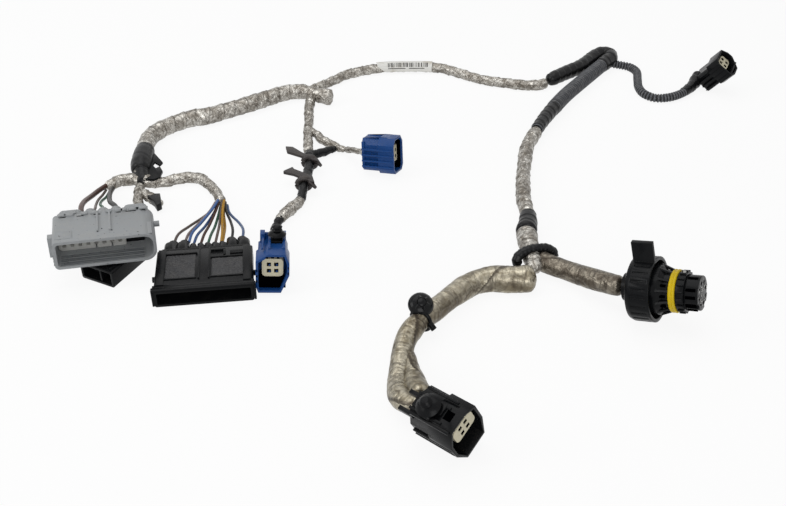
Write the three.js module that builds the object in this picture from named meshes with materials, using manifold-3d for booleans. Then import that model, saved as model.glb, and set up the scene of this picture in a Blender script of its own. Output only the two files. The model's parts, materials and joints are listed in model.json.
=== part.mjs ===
// Engine-bay wiring harness: foil-wrapped and conduit-covered branches that lie on a table, with their
// plugs, retaining clips, strap and label. Millimetres, +Z up, origin under the middle of the plugs and
// clips at table height. +Y runs away from the viewer and +X to the viewer's right.
import * as THREE from 'three';
import { mergeVertices } from 'three/addons/utils/BufferGeometryUtils.js';
import Module from 'manifold-3d';

const wasm = await Module();
wasm.setup();

// Shared clearances and fineness
const GAP = 0.3;
const WELD = 1e-4;
const OVERCUT = 1;
const ROUND_STEPS = 24;
const SLEEVE_STEPS = 18;
const BOSS_STEPS = 12;
const STRAP_STEPS = 8;
const PIN_STEPS = 6;
const CORNER_STEPS = 3;

// Large grey plug: local +X is the mating direction, x = 0 its mouth, z = 0 its underside
const GREY = {
  width: 66, height: 21, depth: 34, wall: 2, cavityDepth: 26,
  plainCorner: 3, roundCorner: 8,
  ribWidth: 1.4, ribHeight: 1.2, ribSpacing: 8, ribCentre: 0.2, ribFront: 9,
  grooveWidth: 1.4, grooveDepth: 0.7, groovePitch: 4.2, grooves: 3,
  tabReach: 3.2, tabLength: 5, tabHeight: 15, tabSetback: 11,
  pegRadius: 2, pegReach: 3.4, pegSetback: 24, pegHeight: 13,
};
// Its two terminal blocks each take their share of the plug's width
const POWER_BLOCK = {
  width: GREY.width * (2 / 3), height: 12.5, depth: 7, slotWidth: 1.1, slotDepth: 4, slots: [1.9, 12.3],
  holeSize: 2.4, holeDepth: 4, holeMargin: 2.4, holeRows: 2, rowPitch: 5, holeColumns: 8,
};
const SIGNAL_BLOCK = {
  width: GREY.width * (2 / 11), height: 12.5, depth: 4, holeSize: 2, holeDepth: 3, holeMargin: 1.2,
  holeColumns: 3,
};
const REAR_COVER = {
  width: 60, height: 14, thickness: 4.5, lift: 5, bossRadius: 3.8, bossLength: 4, bossPitch: 8.6, bosses: 7,
  bossHeight: 15.5, latchWidth: 9, latchHeight: 2.6, latchOffset: 22, latchRoot: 1,
};

// Large black plug
const BLACK = {
  width: 64.5, height: 12.5, depth: 45, wall: 1.8, cavityDepth: 25, corner: 1.4,
  railWidth: 5, railHeight: 1, railSetback: 6,
  ribWidth: 1.2, ribHeight: 1.1, ribSpacing: 6.6, ribFront: 11,
  pegRadius: 2, pegReach: 2.4, pegSetback: 22, pegHeight: 6,
};
const BLACK_BLOCK_CLEARANCE = 1.45;
const BLACK_BLOCK = {
  width: BLACK.width - 2 * (BLACK.wall + BLACK_BLOCK_CLEARANCE), height: 6.6, depth: 12, holeSize: 2.4,
  holeDepth: 4, holeMargin: 4, holeRows: 1, holeColumns: 10,
};
const BOOTS = {
  plateThickness: 3, plateWidth: 58, plateHeight: 11,
  largeRadius: 3.6, largeLength: 11, smallRadius: 2.3, smallLength: 8, axisHeight: 7.6,
  leftPair: [-22.4, -14.8], rightPair: [17.6, 25], smallRow: [-8.8, -3.8, 1.2, 6.2, 11.2],
};

// Small black plug that props up the grey one
const SMALL = {
  width: 27, height: 13, depth: 34, wall: 1.8, cavityDepth: 15, corner: 1.5,
  blockWidth: 19, blockHeight: 6.6, blockDepth: 8, holeSize: 2.4, holeDepth: 4,
  holePitch: 5.6, holeColumns: 3,
};

// Four-way sealed plugs: collar and mouth in front, a slimmer body behind, a clip rail on top.
// Each chamfer is [across, down], seen from in front of the mouth.
const BLUE_LEFT = {
  width: 22, height: 29, length: 28, collarLength: 15, bodyInset: 1.2, wall: 1.7, cavityDepth: 14,
  topLeft: [8, 5.5], topRight: [2.7, 6.8], bottomRight: [5.5, 13.4], bottomLeft: [1.7, 4.6],
  insertWidth: 14, insertHeight: 13.2, insertRaise: 11, insertSetback: 3, clipForward: 0, discRadius: 6.2,
};
const BLUE_RIGHT = {
  width: 19.5, height: 28, length: 27, collarLength: 13, bodyInset: 1.4, wall: 1.6, cavityDepth: 13,
  topLeft: [4, 5], topRight: [4, 5], bottomRight: [3, 4], bottomLeft: [3, 4],
  insertWidth: 12.4, insertHeight: 12.6, insertRaise: 8.4, insertSetback: 3,
};
const LOWER = {
  width: 26, height: 31, length: 30, collarLength: 16, bodyInset: 1.3, wall: 1.7, cavityDepth: 14,
  topLeft: [5.5, 9.8], topRight: [7.6, 4.8], bottomRight: [4.2, 12.4], bottomLeft: [5, 10.4],
  insertWidth: 17, insertHeight: 10.5, insertRaise: 16, insertSetback: 4, clipForward: 4, discRadius: 7.4,
};
const UPPER = {
  width: 22, height: 21.5, length: 29.5, collarLength: 14, bodyInset: 1.8, wall: 1.6, cavityDepth: 13,
  topLeft: [4.4, 3.5], topRight: [3.4, 7], bottomRight: [8, 9], bottomLeft: [5, 2.6],
  insertWidth: 12.4, insertHeight: 9.4, insertRaise: 8.2, insertSetback: 3, plainTop: true,
};
const CHAMFER_SHARE = 0.6;
const INSERT = { corner: 2.6, holeSize: 2.8, holeDepth: 6, holePitch: 4.8 };
const RAIL = { width: 1.6, height: 2.4, spacing: 9.6 };

// Push-in clip: slider between the rails, stem, umbrella disc and a finned stud
const CLIP = {
  sliderLength: 12.4, sliderHeight: 2.4, stemRadius: 2.2, stemHeight: 3.4,
  discRise: 2.6, discEdge: 0.7, shoulderReach: 0.6, shoulderRise: 0.75,
  finSlope: 0.4, studRadius: 2, finRadius: 3.6, finPitch: 2, fins: 2,
};

// Round twist-lock plug: local +X is the mating direction, x = 0 the back of the lock collar
const ROUND = {
  collarRadius: 21, collarLength: 16.6, collarWall: 2.2, collarBack: 2.6,
  collarRounding: 4, roundingShare: 0.3,
  ribCount: 24, ribDepth: 0.6, ribSetback: 2,
  tabLength: 13.6, tabReach: 13.5, tabThickness: 3.2, tabFront: 0,
  neckRadius: 9, neckBack: 5, flangeRadius: 16, flangeStart: 11.5, flangeEnd: 19.5, flangeSlope: 2,
  coneEnd: 22.5,
  toothRadius: 17.6, toothWidth: 6, toothLength: 5, toothRoot: 3, teeth: 3,
  barrelRadius: 12.8, sealStart: 25.8, sealLength: 4.8, sealDepth: 1.5, barrelEnd: 35.5,
  noseRadius: 11, noseLength: 8.4, noseRoot: 4, noseKeyWidth: 4, noseKeyDepth: 1.6,
  noseKeyAngles: [110, 200, 250],
  pinHoleRadius: 1.4, pinHoleDepth: 4, pinRing: 7, pinHoles: 8,
  sealProud: 1, sealRibs: 2, sealCrest: [0.3, 0.7],
};

// Retaining clips, strap and label
const TRUNK_CLIP = {
  bore: 7.4, wall: 1.6, length: 24, finThickness: 6, finReach: 15, finRise: [5.7, 6], hookLength: 19,
  tipBevel: [3, 2], mouthRadius: 2.6, mouthOffset: 2.3, mouthSink: 1.6, throat: [1.3, 3.7],
};
const EDGE_CLIP = {
  plateLength: 27, plateDepth: 6.4, plateThickness: 2.4, bore: 4.4, wall: 1.8, length: 9,
  prongReach: 5, prongThickness: 1.8, prongGap: 4.6, plateOffset: -4,
};
const JUNCTION_STRAP = { halfWidth: 14.4, halfHeight: 9.7, thickness: 3.4 };
const SLEEVE_CLIP = {
  bore: 8, strapWall: 1.5, strapWidth: 5, headLength: 9, headWidth: 8, headHeight: 4, discRadius: 7.6,
};
const LABEL = { length: 45, width: 13, thickness: 0.7, pointLength: 8 };

// Radii of the branches and leads
const RADIUS = {
  trunk: 6.5, thinRun: 4.2, tapedConduit: 6.2, ribbedConduit: 6.4, thinConduit: 3.8, drop: 5.4,
  leftSleeve: 6.6, rightSleeve: 6.6, branch: 3.6, tail: 3.6, sideBranch: 3.4, link: 2.8,
  leftArm: 4.6, rightArm: 4, stub: 3.6, powerWire: 2.3, earthWire: 2.1, wire: 1, plugLead: 2.2,
};
const CORD_SIDES = 10;
const WIRE_SIDES = 8;
const THIN_CORD = 2;
const STEP_DIAMETERS = 2;
const FEWEST_STEPS = 4;

// Materials
function finish(color, roughness, metalness = 0) {
  return new THREE.MeshStandardMaterial({ color, roughness, metalness });
}
const GREY_PLASTIC = finish(0x8f9294, 0.6);
const BLACK_PLASTIC = finish(0x1d1e21, 0.5);
const BLUE_PLASTIC = finish(0x27488f, 0.45);
const CREAM_PLASTIC = finish(0xdcd6bb, 0.6);
const CLIP_PLASTIC = finish(0x3a3536, 0.6);
const YELLOW_RUBBER = finish(0xc9a71c, 0.55);
const FOIL = finish(0x9a948a, 0.45, 0.6);
const TAPE = finish(0x1f1f22, 0.75);
const CONDUIT = finish(0x232326, 0.5);
const PAPER = finish(0xe6e6e2, 0.7);
const insulation = (color) => finish(color, 0.5);
const BROWN_WIRE = insulation(0x5a3a30);
const GREEN_WIRE = insulation(0x2f5a44);
const BLACK_WIRE = insulation(0x1a1a1c);
const BLUE_WIRE = insulation(0x3f5c8c);
const PINK_WIRE = insulation(0x9a8580);
const YELLOW_WIRE = insulation(0xb98a1e);
const TAN_WIRE = insulation(0x7c6a62);
const SLATE_WIRE = insulation(0x6c7b92);
const GREY_WIRES = [
  { radius: RADIUS.powerWire, cover: BROWN_WIRE }, { radius: RADIUS.wire, cover: TAN_WIRE },
  { radius: RADIUS.wire, cover: GREEN_WIRE }, { radius: RADIUS.earthWire, cover: BLACK_WIRE },
];
const BLACK_WIRE_COVERS = [
  TAN_WIRE, PINK_WIRE, BLUE_WIRE, BROWN_WIRE, GREEN_WIRE, TAN_WIRE, YELLOW_WIRE, BLACK_WIRE, SLATE_WIRE,
];

// Turns a closed three.js geometry into a solid
function toSolid(geometry) {
  const bare = geometry.clone();
  bare.deleteAttribute('normal');
  bare.deleteAttribute('uv');
  const welded = mergeVertices(bare, WELD);
  const corners = welded.index.array;
  const kept = [];
  for (let i = 0; i < corners.length; i += 3) {
    const [a, b, c] = [corners[i], corners[i + 1], corners[i + 2]];
    if (a !== b && b !== c && c !== a) kept.push(a, b, c);
  }
  return new wasm.Manifold(new wasm.Mesh({
    numProp: 3,
    vertProperties: new Float32Array(welded.attributes.position.array),
    triVerts: new Uint32Array(kept),
  }));
}

function toGeometry(solid) {
  const mesh = solid.getMesh();
  const geometry = new THREE.BufferGeometry();
  geometry.setAttribute('position', new THREE.BufferAttribute(mesh.vertProperties, 3));
  geometry.setIndex(new THREE.BufferAttribute(mesh.triVerts, 1));
  geometry.computeVertexNormals();
  return geometry;
}

const join = (solids) => solids.reduce((whole, solid) => whole.add(solid));
const cut = (solid, tools) => tools.reduce((rest, tool) => rest.subtract(tool), solid);

function meshOf(name, solid, material) {
  const mesh = new THREE.Mesh(toGeometry(solid), material);
  mesh.name = name;
  return mesh;
}

function groupOf(meshes) {
  const group = new THREE.Group();
  group.add(...meshes);
  return group;
}

// A box between two opposite corners
function block([x0, x1], [y0, y1], [z0, z1]) {
  const box = new THREE.BoxGeometry(x1 - x0, y1 - y0, z1 - z0);
  return toSolid(box.translate((x0 + x1) / 2, (y0 + y1) / 2, (z0 + z1) / 2));
}

const shapeOf = (corners) => new THREE.Shape(corners.map(([a, b]) => new THREE.Vector2(a, b)));

function extrude(shape, depth) {
  return new THREE.ExtrudeGeometry(shape, { depth, bevelEnabled: false, curveSegments: CORNER_STEPS });
}

// A prism along X from an outline in (y, z)
function prismX(shape, x0, x1) {
  const turn = new THREE.Matrix4().makeBasis(
    new THREE.Vector3(0, 1, 0), new THREE.Vector3(0, 0, 1), new THREE.Vector3(1, 0, 0));
  return toSolid(extrude(shape, x1 - x0).applyMatrix4(turn).translate(x0, 0, 0));
}

// A prism along Z from an outline in (x, y)
const prismZ = (shape, z0, z1) => toSolid(extrude(shape, z1 - z0).translate(0, 0, z0));

// A solid of revolution about X from [radius, x] points that start and end on the axis
function turnedX(profile, steps = ROUND_STEPS) {
  const lathe = new THREE.LatheGeometry(profile.map(([r, x]) => new THREE.Vector2(r, x)), steps);
  return toSolid(lathe.rotateZ(-Math.PI / 2));
}

const rodX = (radius, x0, x1, y = 0, z = 0, steps = BOSS_STEPS) => {
  const rod = new THREE.CylinderGeometry(radius, radius, x1 - x0, steps);
  return toSolid(rod.rotateZ(Math.PI / 2).translate((x0 + x1) / 2, y, z));
};

const rodY = (radius, y0, y1, x, z) => {
  const rod = new THREE.CylinderGeometry(radius, radius, y1 - y0, BOSS_STEPS);
  return toSolid(rod.translate(x, (y0 + y1) / 2, z));
};

// A rectangle in (y, z) with its own corner radius on each side, standing on z = base
function roundedOutline(width, height, base, leftRadius, rightRadius) {
  const [left, right, top] = [-width / 2, width / 2, base + height];
  const shape = new THREE.Shape();
  shape.moveTo(left + leftRadius, base);
  shape.lineTo(right - rightRadius, base);
  shape.absarc(right - rightRadius, base + rightRadius, rightRadius, -Math.PI / 2, 0);
  shape.lineTo(right, top - rightRadius);
  shape.absarc(right - rightRadius, top - rightRadius, rightRadius, 0, Math.PI / 2);
  shape.lineTo(left + leftRadius, top);
  shape.absarc(left + leftRadius, top - leftRadius, leftRadius, Math.PI / 2, Math.PI);
  shape.lineTo(left, base + leftRadius);
  shape.absarc(left + leftRadius, base + leftRadius, leftRadius, Math.PI, Math.PI * 1.5);
  return shape;
}

// Square terminal holes in a block's front face, in rows and columns about (y, z). Where the size gives a
// margin and no pitch, the columns share the rest of the block's width.
function terminalHoles(size, frontX, y, z) {
  const rows = size.holeRows ?? 1;
  const pitch = size.holePitch ?? (size.width - size.holeMargin) / size.holeColumns;
  const rowPitch = size.rowPitch ?? pitch;
  const half = size.holeSize / 2;
  const holes = [];
  for (let column = 0; column < size.holeColumns; column += 1) {
    for (let row = 0; row < rows; row += 1) {
      const holeY = y + (column - (size.holeColumns - 1) / 2) * pitch;
      const holeZ = z + (row - (rows - 1) / 2) * rowPitch;
      holes.push(block(
        [frontX - size.holeDepth, frontX + OVERCUT],
        [holeY - half, holeY + half], [holeZ - half, holeZ + half]));
    }
  }
  return holes;
}

// Places a plug: heading about Z, nose-up pitch and left-side-up roll, in degrees
function place(group, { x, y, heading, pitch = 0, roll = 0 }) {
  const turn = THREE.MathUtils.degToRad;
  group.rotation.set(turn(roll), -turn(pitch), turn(heading), 'ZYX');
  group.position.set(x, y, 0);
  return group;
}

// Lifts or lowers a placed group until its lowest point is at the given height
function settle(group, height = 0) {
  const box = new THREE.Box3().setFromObject(group, true);
  group.position.z += height - box.min.z;
  return group;
}

// Large grey plug

function greyHousing() {
  const { width, height, depth, wall, cavityDepth } = GREY;
  const outer = prismX(roundedOutline(width, height, 0, GREY.plainCorner, GREY.roundCorner), -depth, 0);
  const cavityOutline = roundedOutline(
    width - 2 * wall, height - 2 * wall, wall, GREY.plainCorner - wall / 2, GREY.roundCorner - wall);
  const cavity = prismX(cavityOutline, -cavityDepth, OVERCUT);
  const ribs = [-1, 1].map((side) => {
    const y = GREY.ribCentre + side * GREY.ribSpacing / 2;
    const across = [y - GREY.ribWidth / 2, y + GREY.ribWidth / 2];
    return block([-depth, -GREY.ribFront], across, [height - wall / 2, height + GREY.ribHeight]);
  });
  const tabZ = (height - GREY.tabHeight) / 2;
  const tab = block(
    [-GREY.tabSetback - GREY.tabLength, -GREY.tabSetback],
    [-width / 2 - GREY.tabReach, -width / 2 + wall / 2], [tabZ, tabZ + GREY.tabHeight]);
  const peg = rodY(
    GREY.pegRadius, width / 2 - wall / 2, width / 2 + GREY.pegReach, -GREY.pegSetback, GREY.pegHeight);
  const grooveReach = width / 2 - GREY.roundCorner;
  const grooves = Array.from({ length: GREY.grooves }, (_, i) => {
    const x = -(i + 1) * GREY.groovePitch;
    return block(
      [x - GREY.grooveWidth, x], [-grooveReach, grooveReach], [wall - GREY.grooveDepth, wall + OVERCUT]);
  });
  return cut(join([outer, ...ribs, tab, peg]), [cavity, ...grooves]);
}

function powerBlock() {
  const { width, height, depth, slotWidth } = POWER_BLOCK;
  const left = -GREY.width / 2 + GREY.wall + GAP;
  const back = -GREY.cavityDepth + GAP;
  const floor = GREY.wall + GAP;
  const front = back + depth;
  const middle = left + width / 2;
  const outline = roundedOutline(width, height, floor, GREY.plainCorner, WELD);
  const body = prismX(outline, back, front).translate([0, middle, 0]);
  const slots = POWER_BLOCK.slots.map((y) => block(
    [front - POWER_BLOCK.slotDepth, front + OVERCUT], [middle + y, middle + y + slotWidth],
    [floor - OVERCUT, floor + height + OVERCUT]));
  return cut(body, [...slots, ...terminalHoles(POWER_BLOCK, front, middle, floor + height / 2)]);
}

function signalBlock() {
  const left = -GREY.width / 2 + GREY.wall + GAP + POWER_BLOCK.width + GAP;
  const back = -GREY.cavityDepth + GAP;
  const floor = GREY.wall + GAP;
  const front = back + SIGNAL_BLOCK.depth;
  const body = block(
    [back, front], [left, left + SIGNAL_BLOCK.width], [floor, floor + SIGNAL_BLOCK.height]);
  const middle = left + SIGNAL_BLOCK.width / 2;
  return cut(body, terminalHoles(SIGNAL_BLOCK, front, middle, floor + SIGNAL_BLOCK.height / 2));
}

function rearCover() {
  const front = -GREY.depth - GAP;
  const back = front - REAR_COVER.thickness;
  const top = REAR_COVER.lift + REAR_COVER.height;
  const half = REAR_COVER.width / 2;
  const plate = block([back, front], [-half, half], [REAR_COVER.lift, top]);
  const bosses = Array.from({ length: REAR_COVER.bosses }, (_, i) => {
    const y = (i - (REAR_COVER.bosses - 1) / 2) * REAR_COVER.bossPitch;
    const overlap = REAR_COVER.thickness / 2;
    return rodX(
      REAR_COVER.bossRadius, back - REAR_COVER.bossLength, back + overlap, y, REAR_COVER.bossHeight);
  });
  const latches = [-1, 1].map((side) => {
    const y = side * REAR_COVER.latchOffset;
    const across = [y - REAR_COVER.latchWidth / 2, y + REAR_COVER.latchWidth / 2];
    return block([back, front], across, [top - REAR_COVER.latchRoot, top + REAR_COVER.latchHeight]);
  });
  return join([plate, ...bosses, ...latches]);
}

// Large black plug

function blackHousing() {
  const { width, height, depth, wall, cavityDepth, corner } = BLACK;
  const outer = prismX(roundedOutline(width, height, 0, corner, corner), -depth, 0);
  const mouth = roundedOutline(width - 2 * wall, height - 2 * wall, wall, corner / 2, corner / 2);
  const cavity = prismX(mouth, -cavityDepth, OVERCUT);
  const rails = [-1, 1].map((side) => {
    const edge = side * (width / 2 - corner);
    const inner = edge - side * BLACK.railWidth;
    return block(
      [-depth, -BLACK.railSetback], [Math.min(edge, inner), Math.max(edge, inner)],
      [height - wall / 2, height + BLACK.railHeight]);
  });
  const ribs = [-1, 1].map((side) => {
    const y = side * BLACK.ribSpacing / 2;
    const across = [y - BLACK.ribWidth / 2, y + BLACK.ribWidth / 2];
    return block([-depth, -BLACK.ribFront], across, [height - wall / 2, height + BLACK.ribHeight]);
  });
  const pegs = [-1, 1].map((side) => {
    const inner = side * (width / 2 - wall / 2);
    const outerEnd = side * (width / 2 + BLACK.pegReach);
    const [low, high] = [Math.min(inner, outerEnd), Math.max(inner, outerEnd)];
    return rodY(BLACK.pegRadius, low, high, -BLACK.pegSetback, BLACK.pegHeight);
  });
  return cut(join([outer, ...rails, ...ribs, ...pegs]), [cavity]);
}

function blackBlock() {
  const half = BLACK_BLOCK.width / 2;
  const back = -BLACK.cavityDepth + GAP;
  const front = back + BLACK_BLOCK.depth;
  const floor = BLACK.wall + GAP;
  const body = block([back, front], [-half, half], [floor, floor + BLACK_BLOCK.height]);
  return cut(body, terminalHoles(BLACK_BLOCK, front, 0, floor + BLACK_BLOCK.height / 2));
}

function wireBoots() {
  const front = -BLACK.depth - GAP;
  const back = front - BOOTS.plateThickness;
  const half = BOOTS.plateWidth / 2;
  const base = (BLACK.height - BOOTS.plateHeight) / 2;
  const plate = block([back, front], [-half, half], [base, base + BOOTS.plateHeight]);
  const inside = back + BOOTS.plateThickness / 2;
  const large = [...BOOTS.leftPair, ...BOOTS.rightPair].map(
    (y) => rodX(BOOTS.largeRadius, back - BOOTS.largeLength, inside, y, BOOTS.axisHeight));
  const small = BOOTS.smallRow.map(
    (y) => rodX(BOOTS.smallRadius, back - BOOTS.smallLength, inside, y, BOOTS.axisHeight));
  return join([plate, ...large, ...small]);
}

// Small black plug

function smallHousing() {
  const { width, height, depth, wall, cavityDepth, corner } = SMALL;
  const outer = prismX(roundedOutline(width, height, 0, corner, corner), -depth, 0);
  const mouth = roundedOutline(width - 2 * wall, height - 2 * wall, wall, corner / 2, corner / 2);
  const cavity = prismX(mouth, -cavityDepth, OVERCUT);
  return cut(outer, [cavity]);
}

function smallBlock() {
  const half = SMALL.blockWidth / 2;
  const back = -SMALL.cavityDepth + GAP;
  const front = back + SMALL.blockDepth;
  const floor = SMALL.wall + GAP;
  const body = block([back, front], [-half, half], [floor, floor + SMALL.blockHeight]);
  return cut(body, terminalHoles(SMALL, front, 0, floor + SMALL.blockHeight / 2));
}

// Four-way plugs

// The mouth's outline in (y, z), drawn in by an inset; left and right are as seen from the front
function hoodOutline(size, inset) {
  const [left, right] = [-size.width / 2 + inset, size.width / 2 - inset];
  const [bottom, top] = [inset, size.height - inset];
  const trim = ([across, down]) => [across - inset * CHAMFER_SHARE, down - inset * CHAMFER_SHARE];
  const [topLeft, topRight] = [trim(size.topLeft), trim(size.topRight)];
  const [bottomRight, bottomLeft] = [trim(size.bottomRight), trim(size.bottomLeft)];
  return shapeOf([
    [left + bottomLeft[0], bottom], [right - bottomRight[0], bottom],
    [right, bottom + bottomRight[1]], [right, top - topRight[1]],
    [right - topRight[0], top], [left + topLeft[0], top],
    [left, top - topLeft[1]], [left, bottom + bottomLeft[1]],
  ]);
}

// The rails lie beside the middle of the flat that the top chamfers leave
const railCentre = (size) => (size.topLeft[0] - size.topRight[0]) / 2;

function plugHousing(size) {
  const collar = prismX(hoodOutline(size, 0), -size.collarLength, 0);
  const body = prismX(hoodOutline(size, size.bodyInset), -size.length, -size.collarLength / 2);
  const cavity = prismX(hoodOutline(size, size.wall), -size.cavityDepth, OVERCUT);
  const bodyTop = size.height - size.bodyInset;
  const rails = [-1, 1].map((side) => {
    const y = railCentre(size) + side * RAIL.spacing / 2;
    const across = [y - RAIL.width / 2, y + RAIL.width / 2];
    return block(
      [-size.length, -size.collarLength / 2], across, [bodyTop - size.wall, bodyTop + RAIL.height]);
  });
  return cut(join(size.plainTop ? [collar, body] : [collar, body, ...rails]), [cavity]);
}

function plugInsert(size) {
  const back = -size.cavityDepth + GAP;
  const front = -size.insertSetback;
  const outline = roundedOutline(
    size.insertWidth, size.insertHeight, size.insertRaise, INSERT.corner, INSERT.corner);
  const holes = { ...INSERT, holeRows: 2, holeColumns: 2 };
  const middle = size.insertRaise + size.insertHeight / 2;
  return cut(prismX(outline, back, front), terminalHoles(holes, front, 0, middle));
}

// The umbrella disc and its finned stud, turned about Z above a given height
function umbrella(base, discRadius) {
  const { stemRadius, stemHeight, discRise, discEdge, studRadius, finRadius, finPitch, fins } = CLIP;
  const shoulder = [discRadius * CLIP.shoulderReach, base + stemHeight + discRise * CLIP.shoulderRise];
  const disc = base + stemHeight;
  const crown = disc + discRise;
  const profile = [
    [0, base], [stemRadius, base], [stemRadius, disc], [discRadius - discEdge, disc - discEdge],
    [discRadius, disc], shoulder, [studRadius, crown],
  ];
  for (let i = 0; i < fins; i += 1) {
    const foot = crown + i * finPitch;
    profile.push([finRadius, foot + finPitch * CLIP.finSlope], [studRadius, foot + finPitch]);
  }
  profile.push([0, crown + fins * finPitch]);
  const lathe = new THREE.LatheGeometry(profile.map(([r, z]) => new THREE.Vector2(r, z)), SLEEVE_STEPS);
  return toSolid(lathe.rotateX(Math.PI / 2));
}

function plugClip(size) {
  const floor = size.height - size.bodyInset + GAP;
  const half = (RAIL.spacing - RAIL.width) / 2 - GAP;
  const back = -size.length + (size.length - size.collarLength - CLIP.sliderLength) / 2;
  const front = back + CLIP.sliderLength;
  const slider = block([back, front], [-half, half], [floor, floor + CLIP.sliderHeight]);
  const middle = (back + front) / 2 + size.clipForward;
  const stud = umbrella(CLIP.sliderHeight / 2 + floor, size.discRadius).translate([middle, 0, 0]);
  return slider.add(stud).translate([0, railCentre(size), 0]);
}

function fourWayPlug(name, size, plastic, hasClip) {
  const meshes = [
    meshOf(`${name}_housing`, plugHousing(size), plastic),
    meshOf(`${name}_terminal_block`, plugInsert(size), CREAM_PLASTIC),
  ];
  if (hasClip) meshes.push(meshOf(`${name}_push_clip`, plugClip(size), BLACK_PLASTIC));
  return groupOf(meshes);
}

// Round twist-lock plug

function lockCollar() {
  const { collarRadius, collarLength, collarWall, collarBack, collarRounding, neckRadius } = ROUND;
  const bore = collarRadius - collarWall;
  const bevel = collarRounding * ROUND.roundingShare;
  const shell = turnedX([
    [0, 0], [collarRadius - collarRounding, 0], [collarRadius - bevel, bevel],
    [collarRadius, collarRounding], [collarRadius, collarLength], [0, collarLength],
  ], ROUND.ribCount * 2);
  const hollowEnd = collarLength + OVERCUT;
  const hollow = turnedX([[0, collarBack], [bore, collarBack], [bore, hollowEnd], [0, hollowEnd]]);
  const neckHole = rodX(neckRadius + GAP, -OVERCUT, collarBack + OVERCUT, 0, 0, ROUND_STEPS);
  const ribStart = collarRounding + ROUND.ribSetback / 2;
  const grooves = Array.from({ length: ROUND.ribCount }, (_, i) => {
    const groove = block(
      [ribStart, collarLength - ROUND.ribSetback],
      [-ROUND.ribDepth, ROUND.ribDepth], [collarRadius - ROUND.ribDepth, collarRadius + OVERCUT]);
    return groove.rotate([i * 360 / ROUND.ribCount, 0, 0]);
  });
  const tab = block(
    [collarLength - ROUND.tabLength + ROUND.tabFront, collarLength + ROUND.tabFront],
    [-ROUND.tabThickness / 2, ROUND.tabThickness / 2],
    [collarRadius - collarWall, collarRadius + ROUND.tabReach]);
  return cut(cut(shell, grooves).add(tab), [hollow, neckHole]);
}

function roundBody() {
  const { neckRadius, neckBack, flangeRadius, flangeStart, flangeEnd } = ROUND;
  const { coneEnd, barrelRadius, barrelEnd } = ROUND;
  const grooveRadius = barrelRadius - ROUND.sealDepth;
  const sealEnd = ROUND.sealStart + ROUND.sealLength;
  const shell = turnedX([
    [0, -neckBack], [neckRadius, -neckBack],
    [neckRadius, flangeStart - ROUND.flangeSlope], [flangeRadius, flangeStart],
    [flangeRadius, flangeEnd], [barrelRadius, coneEnd], [barrelRadius, ROUND.sealStart],
    [grooveRadius, ROUND.sealStart], [grooveRadius, sealEnd], [barrelRadius, sealEnd],
    [barrelRadius, barrelEnd], [0, barrelEnd],
  ]);
  const teeth = Array.from({ length: ROUND.teeth }, (_, i) => {
    const tooth = block(
      [flangeStart, flangeStart + ROUND.toothLength], [-ROUND.toothWidth / 2, ROUND.toothWidth / 2],
      [flangeRadius - ROUND.toothRoot, ROUND.toothRadius]);
    return tooth.rotate([180 + i * 360 / ROUND.teeth, 0, 0]);
  });
  const socket = rodX(
    ROUND.noseRadius + GAP, barrelEnd - ROUND.noseRoot, barrelEnd + OVERCUT, 0, 0, ROUND_STEPS);
  return cut(join([shell, ...teeth]), [socket]);
}

function pinInsert() {
  const back = ROUND.barrelEnd - ROUND.noseRoot + GAP;
  const front = ROUND.barrelEnd + ROUND.noseLength;
  const body = rodX(ROUND.noseRadius, back, front, 0, 0, ROUND_STEPS);
  const key = block(
    [ROUND.barrelEnd + GAP, front + OVERCUT], [-ROUND.noseKeyWidth / 2, ROUND.noseKeyWidth / 2],
    [ROUND.noseRadius - ROUND.noseKeyDepth, ROUND.noseRadius + OVERCUT]);
  const keys = ROUND.noseKeyAngles.map((angle) => key.rotate([angle, 0, 0]));
  const holes = Array.from({ length: ROUND.pinHoles }, (_, i) => {
    const angle = i * 2 * Math.PI / ROUND.pinHoles;
    const [y, z] = [ROUND.pinRing * Math.cos(angle), ROUND.pinRing * Math.sin(angle)];
    return rodX(ROUND.pinHoleRadius, front - ROUND.pinHoleDepth, front + OVERCUT, y, z, PIN_STEPS);
  });
  return cut(body, [...keys, ...holes]);
}

function roundSeal() {
  const inner = ROUND.barrelRadius - ROUND.sealDepth + GAP;
  const outer = ROUND.barrelRadius + ROUND.sealProud;
  const valley = outer - ROUND.sealProud / 2;
  const start = ROUND.sealStart + GAP;
  const pitch = (ROUND.sealLength - 2 * GAP) / ROUND.sealRibs;
  const [rise, fall] = ROUND.sealCrest;
  const ridges = [];
  for (let i = 0; i < ROUND.sealRibs; i += 1) {
    const foot = start + i * pitch;
    ridges.push([valley, foot], [outer, foot + pitch * rise], [outer, foot + pitch * fall]);
  }
  const end = start + ROUND.sealRibs * pitch;
  const whole = turnedX([[0, start], ...ridges, [valley, end], [0, end]]);
  return whole.subtract(rodX(inner, start - OVERCUT, end + OVERCUT, 0, 0, ROUND_STEPS));
}

// Clips, strap and label

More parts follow.
